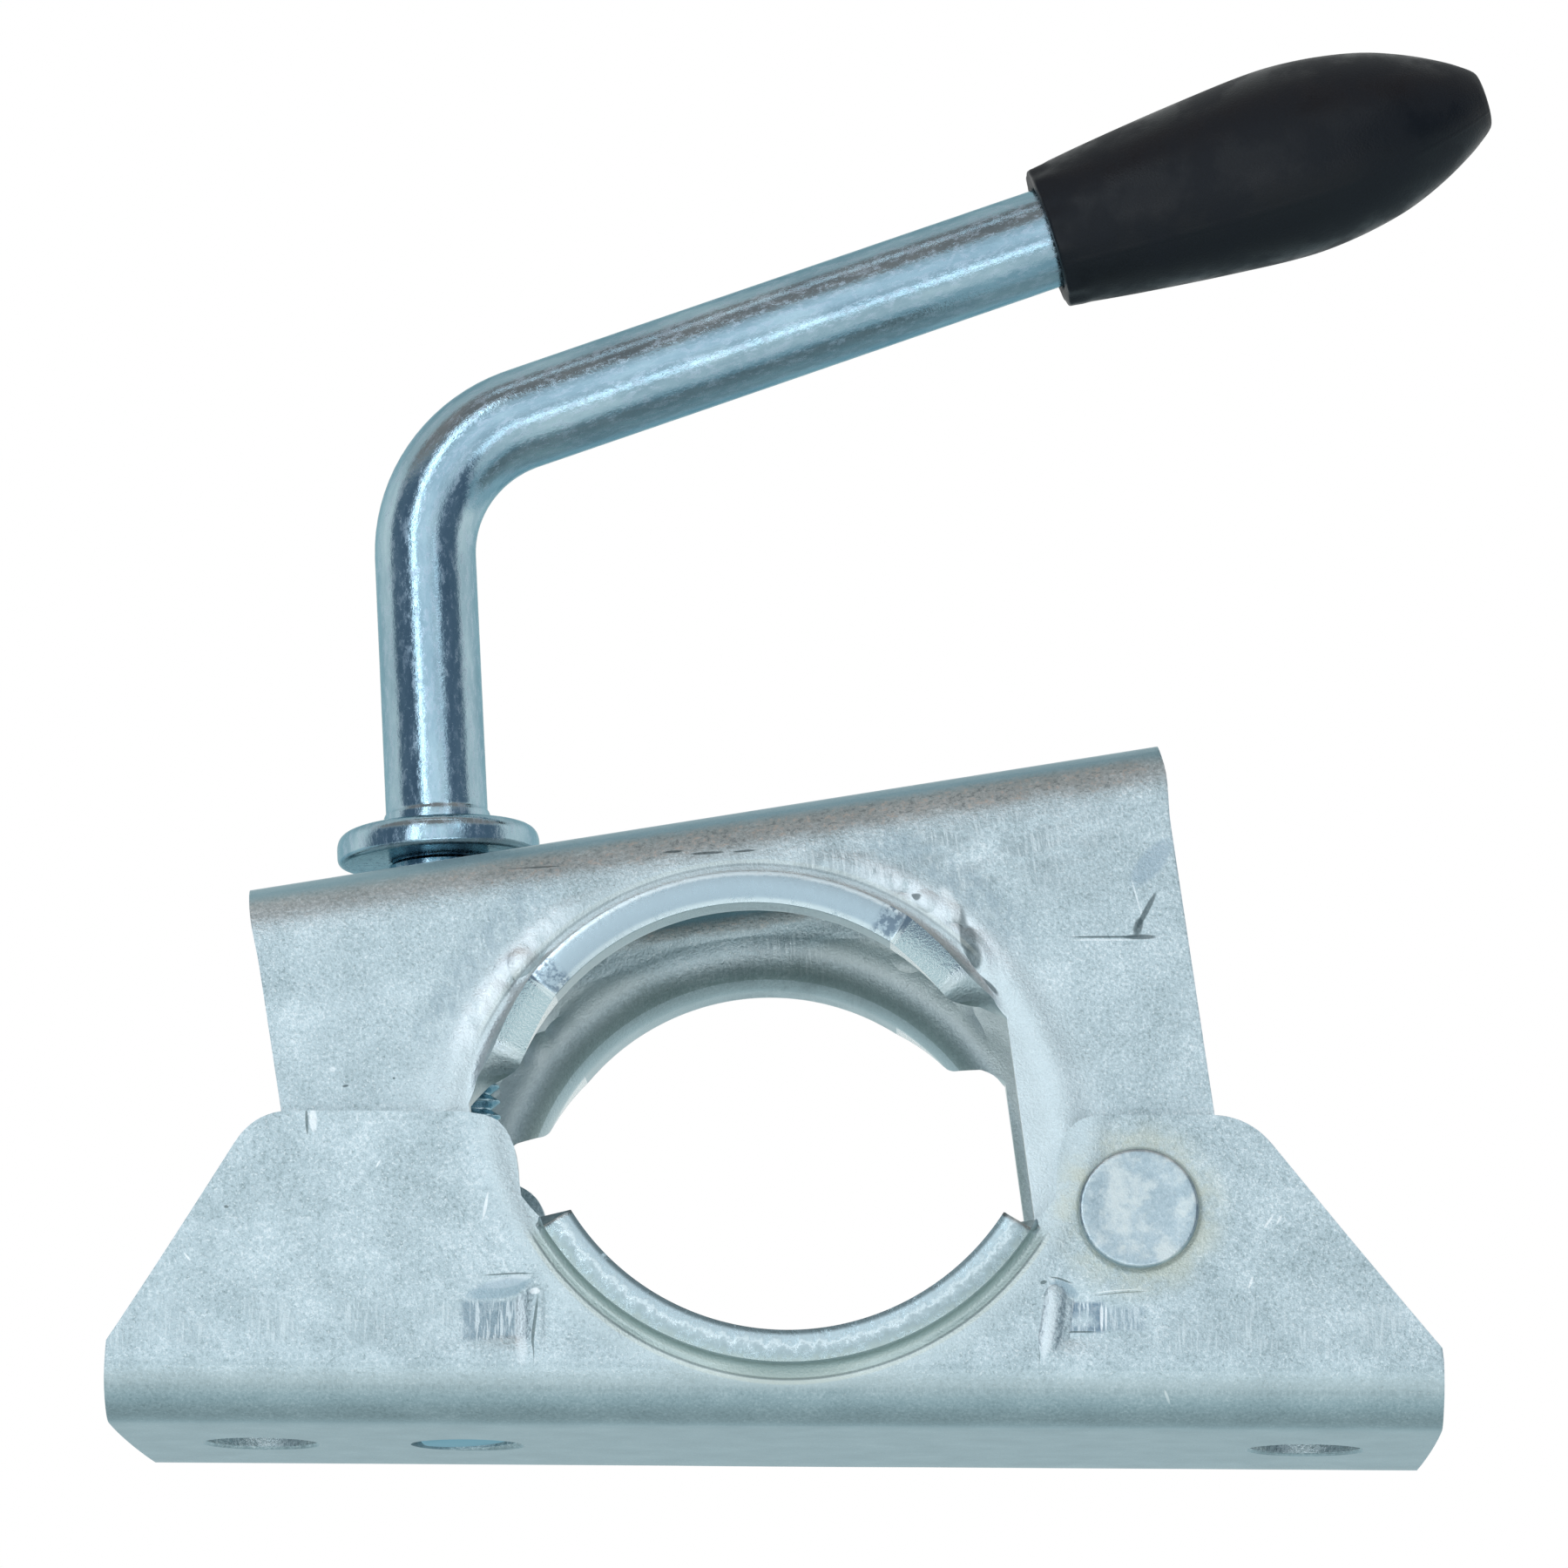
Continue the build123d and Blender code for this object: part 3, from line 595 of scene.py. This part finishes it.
def make_washer():
    """A thick ring whose outer edges are well rounded, the upper one more."""
    thick, r, bore = WASHER_THICK, WASHER_R, WASHER_BORE
    profile = rounded([(bore, 0.3), (bore + 0.3, 0), (r, 0), (r, thick), (bore + 0.25, thick),
                       (bore, thick - 0.25), (bore, 0.3)], (0.05, 0.75, 1.75, 0.05, 0.05), steps=10)
    origin = SCREW_ORIGIN + SCREW_DIR * (WASHER_Z / math.cos(SCREW_LEAN))
    washer = turned("thrust_washer_turned", profile, origin, SCREW_DIR, WASHER_FINISH, around=160)
    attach(washer, "washer")
    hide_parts("thrust_washer")


def make_rivet():
    """Shank and two pressed heads, each nearly flat with a slightly raised rim and a rounded edge."""
    face, r = BASE["half"], RIVET_HEAD_R
    top = face + RIVET_HEAD
    side = rounded([(RIVET_SHANK_R, 0), (RIVET_SHANK_R, face), (r, face), (r, top), (r - 1.0, top - 0.02),
                    (r - 2.2, top - 0.1), (0, top - 0.12)], (0.02, 0.02, 0.45, 0.4, 0.5), steps=7)
    profile = np.concatenate([side[::-1] * (1, -1), side[1:]])
    rivet = turned("hinge_rivet_headed", profile, PIN, DEPTH, RIVET_FINISH, around=144)
    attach(rivet, "base")
    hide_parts("hinge_rivet")


def curve_through(points, steps):
    """A smooth path through the points, each span a cubic whose slopes come from the neighbours."""
    points = np.array(points, float)
    ends = np.concatenate([[2 * points[0] - points[1]], points, [2 * points[-1] - points[-2]]])
    t = np.linspace(0, 1, steps, endpoint=False)[:, None]
    spans = [0.5 * (2 * b + (c - a) * t + (2 * a - 5 * b + 4 * c - d) * t ** 2
                    + (3 * b - a - 3 * c + d) * t ** 3)
             for a, b, c, d in zip(ends, ends[1:], ends[2:], ends[3:])]
    return np.concatenate(spans + [points[-1:]])


def grip_swell(length, angle):
    """A low parting ridge on both sides, and a slightly uneven mouth."""
    ridge = np.maximum(0, 1 - np.abs((angle % math.pi) - PARTING_ANGLE) / 0.035)
    outside = length > 0.3
    mouth = 0.07 * (np.sin(5 * angle + 1) + np.sin(11 * angle) + np.sin(17 * angle + 2)) * (length < 1.5)
    return np.where(outside, 0.05 * ridge, 0) + mouth


def make_grip():
    """The grip's profile turned about its own drooping axis; its bore follows the arm."""
    skin = curve_through([(7.2, 0.55), *[(r, at) for at, r in GRIP_PROFILE], (3.6, 45.6), (3.0, 46.3)], 6)
    mouth = rounded([(GRIP_BORE, 1.0), (GRIP_BORE, 0), (7.15, 0), skin[0]], (0.4, 0.3), steps=5)
    tip = rounded([skin[-1], (2.7, GRIP_LENGTH), (0, GRIP_LENGTH)], (0.2,), steps=4)
    profile = np.concatenate([[(0, BORE_END), (GRIP_BORE, BORE_END)], mouth[:-1], skin[:-1], tip])
    arm = np.array([math.cos(ARM_RISE), 0, math.sin(ARM_RISE)])
    rise = ARM_RISE - GRIP_DROOP
    way = np.array([math.cos(rise), 0, math.sin(rise)])
    start = SCREW_ORIGIN + SCREW_DIR * (ARM_CORNER / math.cos(SCREW_LEAN)) + arm * GRIP_START
    in_bore = (np.arange(len(profile)) < 2)[:, None]
    centres = start + np.where(in_bore, arm, way) * profile[:, 1:]
    first = np.array([way[2], 0, -way[0]])
    grip = along_curve("grip_moulded", PLASTIC, profile, centres, first, DEPTH, grip_swell, around=180)
    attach(grip, "handle")
    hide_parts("grip")


def slot_cutter():
    """A prism with round ends, square to the jaw's web, that cuts the slot for the screw."""
    around = 64
    angle = np.linspace(0, 2 * math.pi, around, endpoint=False)
    along = np.where(np.cos(angle) > 0, SLOT[1], SLOT[0]) + SLOT_R * np.cos(angle)
    across = SLOT_R * np.sin(angle)
    middle, low, high = np.full(around, (SLOT[0] + SLOT[1]) / 2), *SLOT_CUT
    rings = [(middle, 0 * across, low), (along, across, low), (along, across, high),
             (middle, 0 * across, high)]
    rows = [np.stack([x, y, np.full(around, z)], axis=-1) for x, y, z in rings]
    cutter = link("cutter", grid_mesh("cutter", jaw_place(np.stack(rows)), wrap_columns=True), SHEET_FINISH)
    merge(cutter.data, recalculate=True)
    return cutter


def node(tree, word, *inputs, stops=()):
    """Add a shader node, named by its word in NODES, and give its output.

    An input is a value, or the output that it comes from. The stops are a ramp's places and colours.
    """
    kind, settings, keys, output = NODES[word]
    made = tree.nodes.new("ShaderNode" + kind)
    for key, value in settings.items():
        setattr(made, key, value)
    for key, value in zip(keys, inputs):
        if isinstance(value, bpy.types.NodeSocket):
            tree.links.new(value, made.inputs[key])
        else:
            made.inputs[key].default_value = value
    for count, (position, colour) in enumerate(stops):
        elements = made.color_ramp.elements
        element = elements[count] if count < 2 else elements.new(position)
        element.position, element.color = position, linear(colour)
    return made.outputs[output]


def material(name, metallic):
    """A new material with its shader, and the function that adds a node to it."""
    made = bpy.data.materials.new(name)
    made.use_nodes = True
    shader = made.node_tree.nodes["Principled BSDF"]
    shader.inputs["Metallic"].default_value = metallic
    return made, shader, partial(node, made.node_tree)


def in_mm(add):
    """The object's own coordinates in millimetres."""
    return add("scale", add("object"), (1000, 1000, 1000))


def finished(made, shader, add, colour, rough, height, strength, depth):
    """Link a colour, a roughness and a height in millimetres of depth to the shader."""
    links = made.node_tree.links
    links.new(colour, shader.inputs["Base Color"])
    links.new(rough, shader.inputs["Roughness"])
    links.new(add("bump", height, strength, depth * MM), shader.inputs["Normal"])
    return made


def product(add, first, *others):
    """Values multiplied one after another."""
    for other in others:
        first = add("multiply", first, other)
    return first


def layered(add, colour, *layers):
    """A colour with tints laid over it in turn, each a hex colour, its amount, and the most it reaches."""
    for tint, amount, most in layers:
        colour = add("mix", colour, linear(tint), add("multiply", amount, most))
    return colour


def about(add, value, middle, half, soft):
    """One where a value lies within a half width of a middle, falling to none over a soft edge."""
    away = add("absolute", add("subtract", value, middle))
    return add("ease", away, half + soft, half)


def from_line(add, place, middle):
    """How far a place lies in x and z from a line along y through a middle."""
    return add("shift", add("scale", place, (1, 0, 1)), (middle[0], 0, middle[1]))


def spot(add, place, middle, size, turn=0.0):
    """One inside an ellipse of a size in millimetres about its middle in x and z, with a soft edge."""
    aligned = add("turn_y", from_line(add, place, middle), math.radians(turn))
    away = add("length", add("scale", aligned, (1 / size[0], 0, 1 / size[1])))
    return add("ease", away, 1.25, 0.75)


def spots(add, place, colour, tint, most, rows):
    """A colour with spots of one tint, each a row of its middle, its half sizes and its turn."""
    return layered(add, colour, *((tint, spot(add, place, row[:2], row[2:4], row[4]), most) for row in rows))


def hatched(add, colour, scores, patch, dark, amount):
    """Short upright scores over a patch, light on a slightly darker ground."""
    light = product(add, patch, add("ease", scores, 0.5, 0.6))
    return layered(add, colour, (dark, patch, amount), ("#E9F1F1", light, amount))


def plating(add, place):
    """Bright zinc's colour, roughness and height: pale grey, with its crystals' glitter and faint clouds."""
    grain = add("noise", place, 2.9, 3.0, 0.75)
    cloud = add("noise", place, 0.16, 4.0, 0.62)
    specks = add("noise", place, 4.4, 1.0, 0.5)
    tone = add("multiply_add", grain, 0.66, add("multiply", cloud, 0.34))
    colour = add("colours", tone, stops=[(0.33, "#8A999B"), (0.45, "#AFBEC1"), (0.55, "#C4D2D5"),
                                         (0.66, "#E8F0F1")])
    colour = layered(add, colour, ("#F4F8F7", add("ease", specks, 0.62, 0.71), 0.45))
    return colour, add("ease", grain, 0.3, 0.7, 0.34, 0.5), add("multiply_add", specks, 0.4, grain)


def plated_sheet(name, form, middle, face, marks):
    """Bright zinc on pressed mild steel: satin and speckled, and lighter in a ring round each lip's root.

    The lips' ends were sheared in the press, so they are glossier, and the face's colours run across them
    from the tube outwards. Where they are torn, the facets towards their ends are glossier and get a painted
    highlight, with painted shade beside them. The marks add each sheet's own wear and painted light. The
    middle is the saddle's, in the frame.
    """
    made, shader, add = material(name, 1.0)
    place, flat = in_mm(add), add("kept")
    colour, rough, height = plating(add, place)
    side = add("absolute", add("y", flat))
    radius = add("length", from_line(add, place, middle))
    across = from_line(add, flat, form["saddle"])
    turned_by = add("arctan2", add("x", across), add("multiply", add("z", across), -1.0))
    angle = add("multiply", add("absolute", turned_by), math.degrees(1))
    outer = add("ease", add("absolute", add("y", place)), form["half"] - 1.2, form["half"] - 0.6)
    lip_ring = product(add, add("ease", radius, 31.6, 28.6), outer)
    colour = layered(add, colour, ("#D2DDDE", lip_ring, 0.45))
    colour, rough, height = marks(add, flat, side, (radius, angle, outer), colour, rough, height)

    lip_end = add("ease", side, *LIP_ENDS)
    uneven = add("noise", place, 0.9, 5.0, 0.72)
    wandering = add("multiply_add", add("subtract", uneven, 0.5), face["uneven"], radius)
    sheared = add("colours", add("ramp_over", wandering, *LIP_FACE), stops=face["stops"])
    rim = product(add, add("ease", radius, 24.85, 24.45), add("ease", uneven, 0.3, 0.42))
    colour = add("mix", colour, layered(add, sheared, (face["rim"], rim, 0.8)), lip_end)
    rough = add("blend", rough, add("ease", uneven, 0.4, 0.6, *face["rough"]), lip_end)
    height = add("blend", height, add("multiply", uneven, face["relief"]), lip_end)
    if face["torn"]:
        # Painted shade beside the torn facets, and a painted highlight on the facets
        facet_shade = product(add, about(add, angle, 39.2, 1.6, 1.72), add("ease", uneven, 0.44, 0.56), lip_end)
        facets = product(add, about(add, angle, 49.0, 7.1, 0.23), add("ease", radius, 27.6, 27.4),
                         add("ease", side, 23.0, 24.0))
        colour = layered(add, colour, ("#5C6F80", facet_shade, 0.75), ("#DCE8EA", facets, 1.0))
        rough = add("blend", rough, 0.16, facets)
    return finished(made, shader, add, colour, rough, height, 0.55, 0.12)


def lip_fold_shade(add, colour, side, polar, edge, end, tint, amount):
    """Painted light round the lip's outside fold: a painted shade tint over the band out to an edge, a thin
    painted crease shadow there, and a pale painted highlight line just outside it.
    """
    radius, angle, outer = polar
    outer = add("multiply", outer, add("ease", angle, end, end - 5.0))
    band = product(add, add("ease", radius, 27.15, 27.3), add("ease", radius, edge + 0.1, edge - 0.1),
                   add("ease", side, 27.7, 27.5), outer)
    pale = product(add, about(add, radius, edge + 0.3, 0.1, 0.2), outer)
    dark = product(add, about(add, radius, edge, 0.05, 0.13), outer)
    return layered(add, colour, (tint, band, amount), ("#DEDFCF", pale, 0.6 * amount),
                   ("#46524F", dark, 0.9 * amount))


def base_marks(add, flat, side, polar, colour, rough, height):
    """On the base: upright galling low on its flanges and in its pockets, nicks and pits, a stain at the
    rivet, and painted light: sheen and highlights in its pockets, shade on their ceilings and edges, and
    shade and a highlight round the lip's fold.
    """
    x, z = add("x", flat), add("z", flat)
    scores = add("noise", add("scale", flat, (3.4, 0.2, 0.25)), 1.0, 3.0, 0.7)
    wide = add("noise", add("scale", flat, (1, 0, 1)), 0.22, 3.0, 0.6)
    colour = layered(add, colour, ("#B8C8CC", add("ease", z, 5.6, 4.2), 0.5))
    height = add("multiply", height, add("ease", z, 4.2, 5.6, 0.35, 1.0))
    beside = add("ease", add("absolute", add("subtract", x, 4.5)), 26.0, 36.0)
    band = product(add, add("ease", z, 5.8, 7.4), add("ease", z, 12.2, 10.4), beside,
                   add("ease", wide, 0.42, 0.62))
    colour = hatched(add, colour, scores, band, "#A9B8BB", 0.4)
    for middle, half, dark, amount in PRESS_PATCHES:
        patch = product(add, about(add, x, middle[0], half[0], 0.7), about(add, z, middle[1], half[1], 0.6),
                        add("ease", wide, 0.3, 0.5))
        colour = hatched(add, colour, scores, patch, dark, amount)
    height = add("multiply_add", product(add, band, scores), 0.5, height)
    for line in BEND_LINES:
        broken = product(add, about(add, z, line, 0.08, 0.2), add("ease", scores, 0.4, 0.62))
        colour = layered(add, colour, ("#6F868D", broken, 0.18))
    # Nicks and pits, and painted sheen, highlights and shade in and round the pockets
    for tint, most, rows in BASE_SPOTS:
        colour = spots(add, flat, colour, tint, most, rows)
    stain = product(add, spot(add, flat, RIVET, (7.6, 7.6)),
                    add("ease", add("noise", flat, 0.3, 4.0, 0.7), 0.35, 0.6, 0.1, 0.6))
    seam = about(add, add("length", from_line(add, flat, RIVET)), 5.85, 0.06, 0.24)
    colour = layered(add, colour, ("#CDCDB8", stain, 1.0), ("#6F7B72", seam, 0.45))
    # Painted shade and a painted highlight round the lip's outside fold
    return lip_fold_shade(add, colour, side, polar, 28.55, 61.0, "#B3C1B8", 0.6), rough, height


def jaw_marks(add, flat, side, polar, colour, rough, height):
    """On the jaw: a worn band on its top bend with galling under it, a lighter zone beside the lips with
    painted highlights and painted shade on its shoulders, and torn pits with painted shade in them and
    painted highlights on their raised edges.

    The inside of its flanges is rougher and even, with a painted light band away from the tube and painted
    shade towards it.
    """
    x, z = add("x", flat), add("z", flat)
    radius, angle, outer = polar
    scores = add("noise", add("scale", flat, (3.0, 0.2, 0.3)), 1.0, 3.0, 0.7)
    patches = add("noise", add("scale", flat, (0.2, 0.24, 0.64)), 1.0, 5.0, 0.72)
    fine = add("noise", add("scale", flat, (1.5, 2.4, 2.8)), 1.0, 4.0, 0.72)
    streaks = add("noise", add("scale", flat, (1.1, 0.3, 0.5)), 1.0, 4.0, 0.7)

    bend = product(add, add("ease", z, 3.6, 2.3), add("ease", side, 15.0, 18.0))
    along = product(add, add("ease", x, -72.0, -44.0, 0.25, 1.0), add("ease", x, 9.5, 6.0))
    lower = add("multiply_add", patches, 2.6, 3.0)
    band = product(add, add("ease", z, 2.3, 3.2), add("ease", add("subtract", z, lower), 0.9, -0.3))
    worn = product(add, along, band, add("ease", patches, 0.34, 0.52, 0.35, 1.0))
    light = product(add, worn, add("ease", fine, 0.54, 0.62))
    dark = product(add, worn, add("ease", fine, 0.46, 0.39))
    colour = layered(add, colour, ("#8DB2BE", bend, 0.8), ("#A6A8A4", worn, 0.5), ("#D6C8BC", light, 0.55),
                     ("#6C7678", dark, 0.5))
    rough = add("multiply_add", worn, 0.08, rough)

    galled = product(add, add("ease", z, 4.5, 6.0), add("ease", z, 17.0, 9.0),
                     add("ease", add("absolute", add("add", x, 16.0)), 24.0, 12.0),
                     add("ease", patches, 0.4, 0.62))
    colour = hatched(add, colour, scores, galled, "#8B979A", 0.5)
    # Lighter beside the lips, and painted highlights and painted shade on the shoulders there
    drawn = product(add, add("ease", radius, 36.0, 29.5), add("ease", z, 8.0, 12.0))
    shoulder = product(add, about(add, angle, 44.0, 10.0, 11.46), outer)
    bright = product(add, shoulder, about(add, radius, 30.4, 0.5, 1.1), add("ease", streaks, 0.3, 0.55))
    dull = product(add, shoulder, about(add, radius, 33.6, 0.8, 1.6), add("ease", streaks, 0.62, 0.4))
    colour = layered(add, colour, ("#E3ECED", drawn, 0.35), ("#F4FAFC", bright, 0.6), ("#8C9FA8", dull, 0.45))
    # Dark scratches, and painted shade in the torn pits, on the outer faces
    colour = add("mix", colour, spots(add, flat, colour, "#48575A", 0.75, JAW_SCRATCHES_AND_SHADE), outer)
    colour = spots(add, flat, colour, "#93A8B6", 0.45, JAW_BLUE)
    # Painted highlights on the tears and ripples, and light scratches
    colour = spots(add, flat, colour, "#F1F6F6", 0.6, JAW_HIGHLIGHTS_AND_SCRATCHES)
    # Painted shade and a painted highlight round the lip's outside fold
    colour = lip_fold_shade(add, colour, side, polar, 28.95, 58.0, "#AEBBBD", 0.3)

    # Painted light band and painted shade on the inside of the flanges: lighter away from the tube, darker
    # towards it
    inside = product(add, add("ease", outer, 0.6, 0.4), add("ease", z, 7.0, 9.0))
    high = product(add, inside, add("ease", radius, 26.6, 28.4))
    low = product(add, inside, add("ease", radius, 27.6, 25.6))
    colour = layered(add, colour, ("#F0F6F3", high, 0.75), ("#97A9A2", low, 0.5))
    torn_end = product(add, about(add, angle, 39.4, 2.0, 1.72), add("ease", side, 27.3, 27.6))
    return colour, add("multiply_add", torn_end, 0.2, add("blend", rough, 0.5, inside)), height


def plated_rivet(name):
    """Bright zinc on a cold headed rivet: smooth and bluish, with pale dull blotches."""
    made, shader, add = material(name, 1.0)
    colour, _, height = plating(add, in_mm(add))
    blotch = add("ease", add("noise", add("kept"), 0.3, 5.0, 0.7), 0.42, 0.64)
    colour = layered(add, add("mix", colour, linear("#A3B4BC"), 0.6), ("#DCE2DF", blotch, 0.8))
    rough = add("multiply_add", blotch, 0.12, 0.3)
    return finished(made, shader, add, colour, rough, add("multiply", height, 0.5), 0.55, 0.12)


def plated_rod(name, dull_end):
    """Bright zinc on drawn bar: glossy blue green, scuffed lengthwise where it rubs, with bright specks.

    Its threaded end, up to a length, is dull and pale.
    """
    made, shader, add = material(name, 1.0)
    flat = add("kept")
    cloud = add("noise", add("scale", flat, (1, 1, 0.3)), 0.35, 5.0, 0.65)
    mottle = add("noise", add("scale", flat, (1, 1, 0.45)), 1.6, 5.0, 0.72)
    specks = add("noise", flat, 3.4, 2.0, 0.6)
    end = add("ease", add("z", flat), dull_end, dull_end - 0.3)
    colour = add("colours", cloud, stops=[(0.3, "#8AA6B3"), (0.5, "#9AB5C1"), (0.7, "#AFC8D1")])
    colour = layered(add, colour, ("#C3D3E2", add("ease", mottle, 0.47, 0.62), 0.4), ("#B9DCE8", end, 1.0))
    scuffs = add("ease", mottle, 0.45, 0.66, 0.09, 0.36)
    rough = add("multiply_add", add("ease", specks, 0.64, 0.7), 0.22, scuffs)
    shader.inputs["Specular Tint"].default_value = linear("#B4CDD4")
    return finished(made, shader, add, colour, add("blend", rough, 0.45, end),
                    add("multiply_add", specks, 0.5, mottle), 0.3, 0.08)


def soft_plastic(name):
    """Dipped black PVC: matte and faintly blue, with a fine grain and a few smoother patches."""
    made, shader, add = material(name, 0.0)
    place = in_mm(add)
    grain = add("noise", place, 4.5, 2.0, 0.6)
    cloud = add("noise", place, 0.2, 3.0, 0.6)
    tone = add("multiply_add", grain, 0.5, add("multiply", cloud, 0.5))
    colour = add("colours", tone, stops=[(0.3, "#060A10"), (0.7, "#0B121B")])
    shader.inputs["Specular IOR Level"].default_value = 0.27
    rough = add("ease", cloud, 0.36, 0.6, 0.36, 0.56)
    return finished(made, shader, add, colour, rough, grain, 0.35, 0.08)


def photo_camera():
    """The camera that took the photo, fitted to the object's outline."""
    data = bpy.data.cameras.new("photo_camera")
    data.sensor_width = SENSOR_WIDTH
    data.lens = FOCAL_PIXELS / PHOTO_WIDTH * SENSOR_WIDTH
    data.clip_start, data.clip_end = 0.01, 20.0
    camera = bpy.data.objects.new("photo_camera", data)
    bpy.context.scene.collection.objects.link(camera)
    matrix = Matrix.Translation(Vector(CAMERA_PLACE) * MM)
    for degrees, axis in CAMERA_TURNS:
        matrix = matrix @ Matrix.Rotation(math.radians(degrees), 4, axis)
    camera.matrix_world = matrix
    bpy.context.scene.camera = camera


def softbox(name, place, size, level):
    """A soft lamp turned to the object, which shines at a level where one is white."""
    data = bpy.data.lights.new(name, "AREA")
    data.shape = "RECTANGLE"
    data.size, data.size_y = size
    data.energy = level * math.pi * size[0] * size[1]
    data.color = linear("#EEF7FF")[:3]
    lamp = bpy.data.objects.new(name, data)
    bpy.context.scene.collection.objects.link(lamp)
    lamp.location = place
    lamp.rotation_euler = (Vector(AIM) - Vector(place)).to_track_quat("-Z", "Y").to_euler()


def studio():
    """A white backdrop behind and beside the object, a darker room in front, a pale table, and soft lamps."""
    world = bpy.data.worlds.new("studio")
    bpy.context.scene.world = world
    world.use_nodes = True
    background = world.node_tree.nodes["Background"]
    add = partial(node, world.node_tree)
    way = add("way")
    up = add("z", way)
    towards = add("multiply", add("y", way), -1.0)
    reach = add("sqrt", add("subtract", 1.0, add("multiply", up, up)))
    frontal = add("divide", towards, add("maximum", reach, 0.01))
    walls = add("colours", add("multiply_add", frontal, 0.5, 0.5),
                stops=[(0.54, "#F6F9F8"), (0.6, "#6C7D8D"), (0.9, "#68798C"), (0.96, "#EAF4FC")])
    ceiling = product(add, add("ease", up, 0.5, 0.64), add("ease", towards, 0.0, 0.12))
    table = add("multiply_add", add("maximum", towards, 0.0), 0.45, up)
    near_table = product(add, add("ease", towards, 0.42, 0.56), add("ease", up, -0.3, -0.4))
    under = product(add, add("ease", up, -0.45, -0.7), add("ease", towards, 0.1, -0.15))
    colour = layered(add, walls, ("#D9DEDE", add("ease", up, 0.45, 0.65), 1.0), ("#A79A96", ceiling, 1.0),
                     ("#BCD3DA", add("ease", table, -0.08, -0.22), 1.0), ("#F2F9FB", near_table, 1.0),
                     ("#A0B1B5", under, 1.0), ("#FFFFFF", add("camera_sees"), 1.0))
    world.node_tree.links.new(colour, background.inputs["Color"])
    background.inputs["Strength"].default_value = 1.0
    for lamp in SOFTBOXES:
        softbox(*lamp)
    make_floor()


def make_floor():
    """A pale paper floor just under the object, seen from above alone."""
    mesh = bpy.data.meshes.new("floor")
    far, low = FLOOR_HALF, -FLOOR_DROP * MM
    corners = [(-far, -far, low), (far, -far, low), (far, far, low), (-far, far, low)]
    mesh.from_pydata(corners, [], [(0, 1, 2, 3)])
    made, shader, add = material("pale_paper_floor", 0.0)
    shader.inputs["Base Color"].default_value = linear("#F2F3F3")
    shader.inputs["Roughness"].default_value = 0.9
    seen = add("either", add("back"), shader.outputs[0], add("clear"))
    made.node_tree.links.new(seen, made.node_tree.nodes["Material Output"].inputs["Surface"])
    floor = link("floor", mesh, made)
    floor.visible_diffuse = floor.visible_glossy = floor.visible_transmission = floor.visible_shadow = False


jaw_eye = jaw_place(np.array([JAW["saddle"][0], 0.0, JAW["saddle"][1]]))[[0, 2]]
SHEET_FINISH = plated_sheet("bright_zinc_base_sheet", BASE, BASE["saddle"], BASE_FACE, base_marks)
JAW_FINISH = plated_sheet("bright_zinc_jaw_sheet", JAW, jaw_eye, JAW_FACE, jaw_marks)
ROD_FINISH = plated_rod("bright_zinc_drawn_rod", dull_end=1.1)
WASHER_FINISH = plated_rod("bright_zinc_turned_washer", dull_end=-9.0)
RIVET_FINISH = plated_rivet("bright_zinc_rivet")
PLASTIC = soft_plastic("moulded_black_pvc")
bpy.context.scene.view_settings.view_transform = "Standard"
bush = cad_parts["threaded_bush"].data
bush.materials.clear()
bush.materials.append(ROD_FINISH)
make_base()
make_jaw()
make_rivet()
make_washer()
make_rod()
make_grip()
photo_camera()
studio()
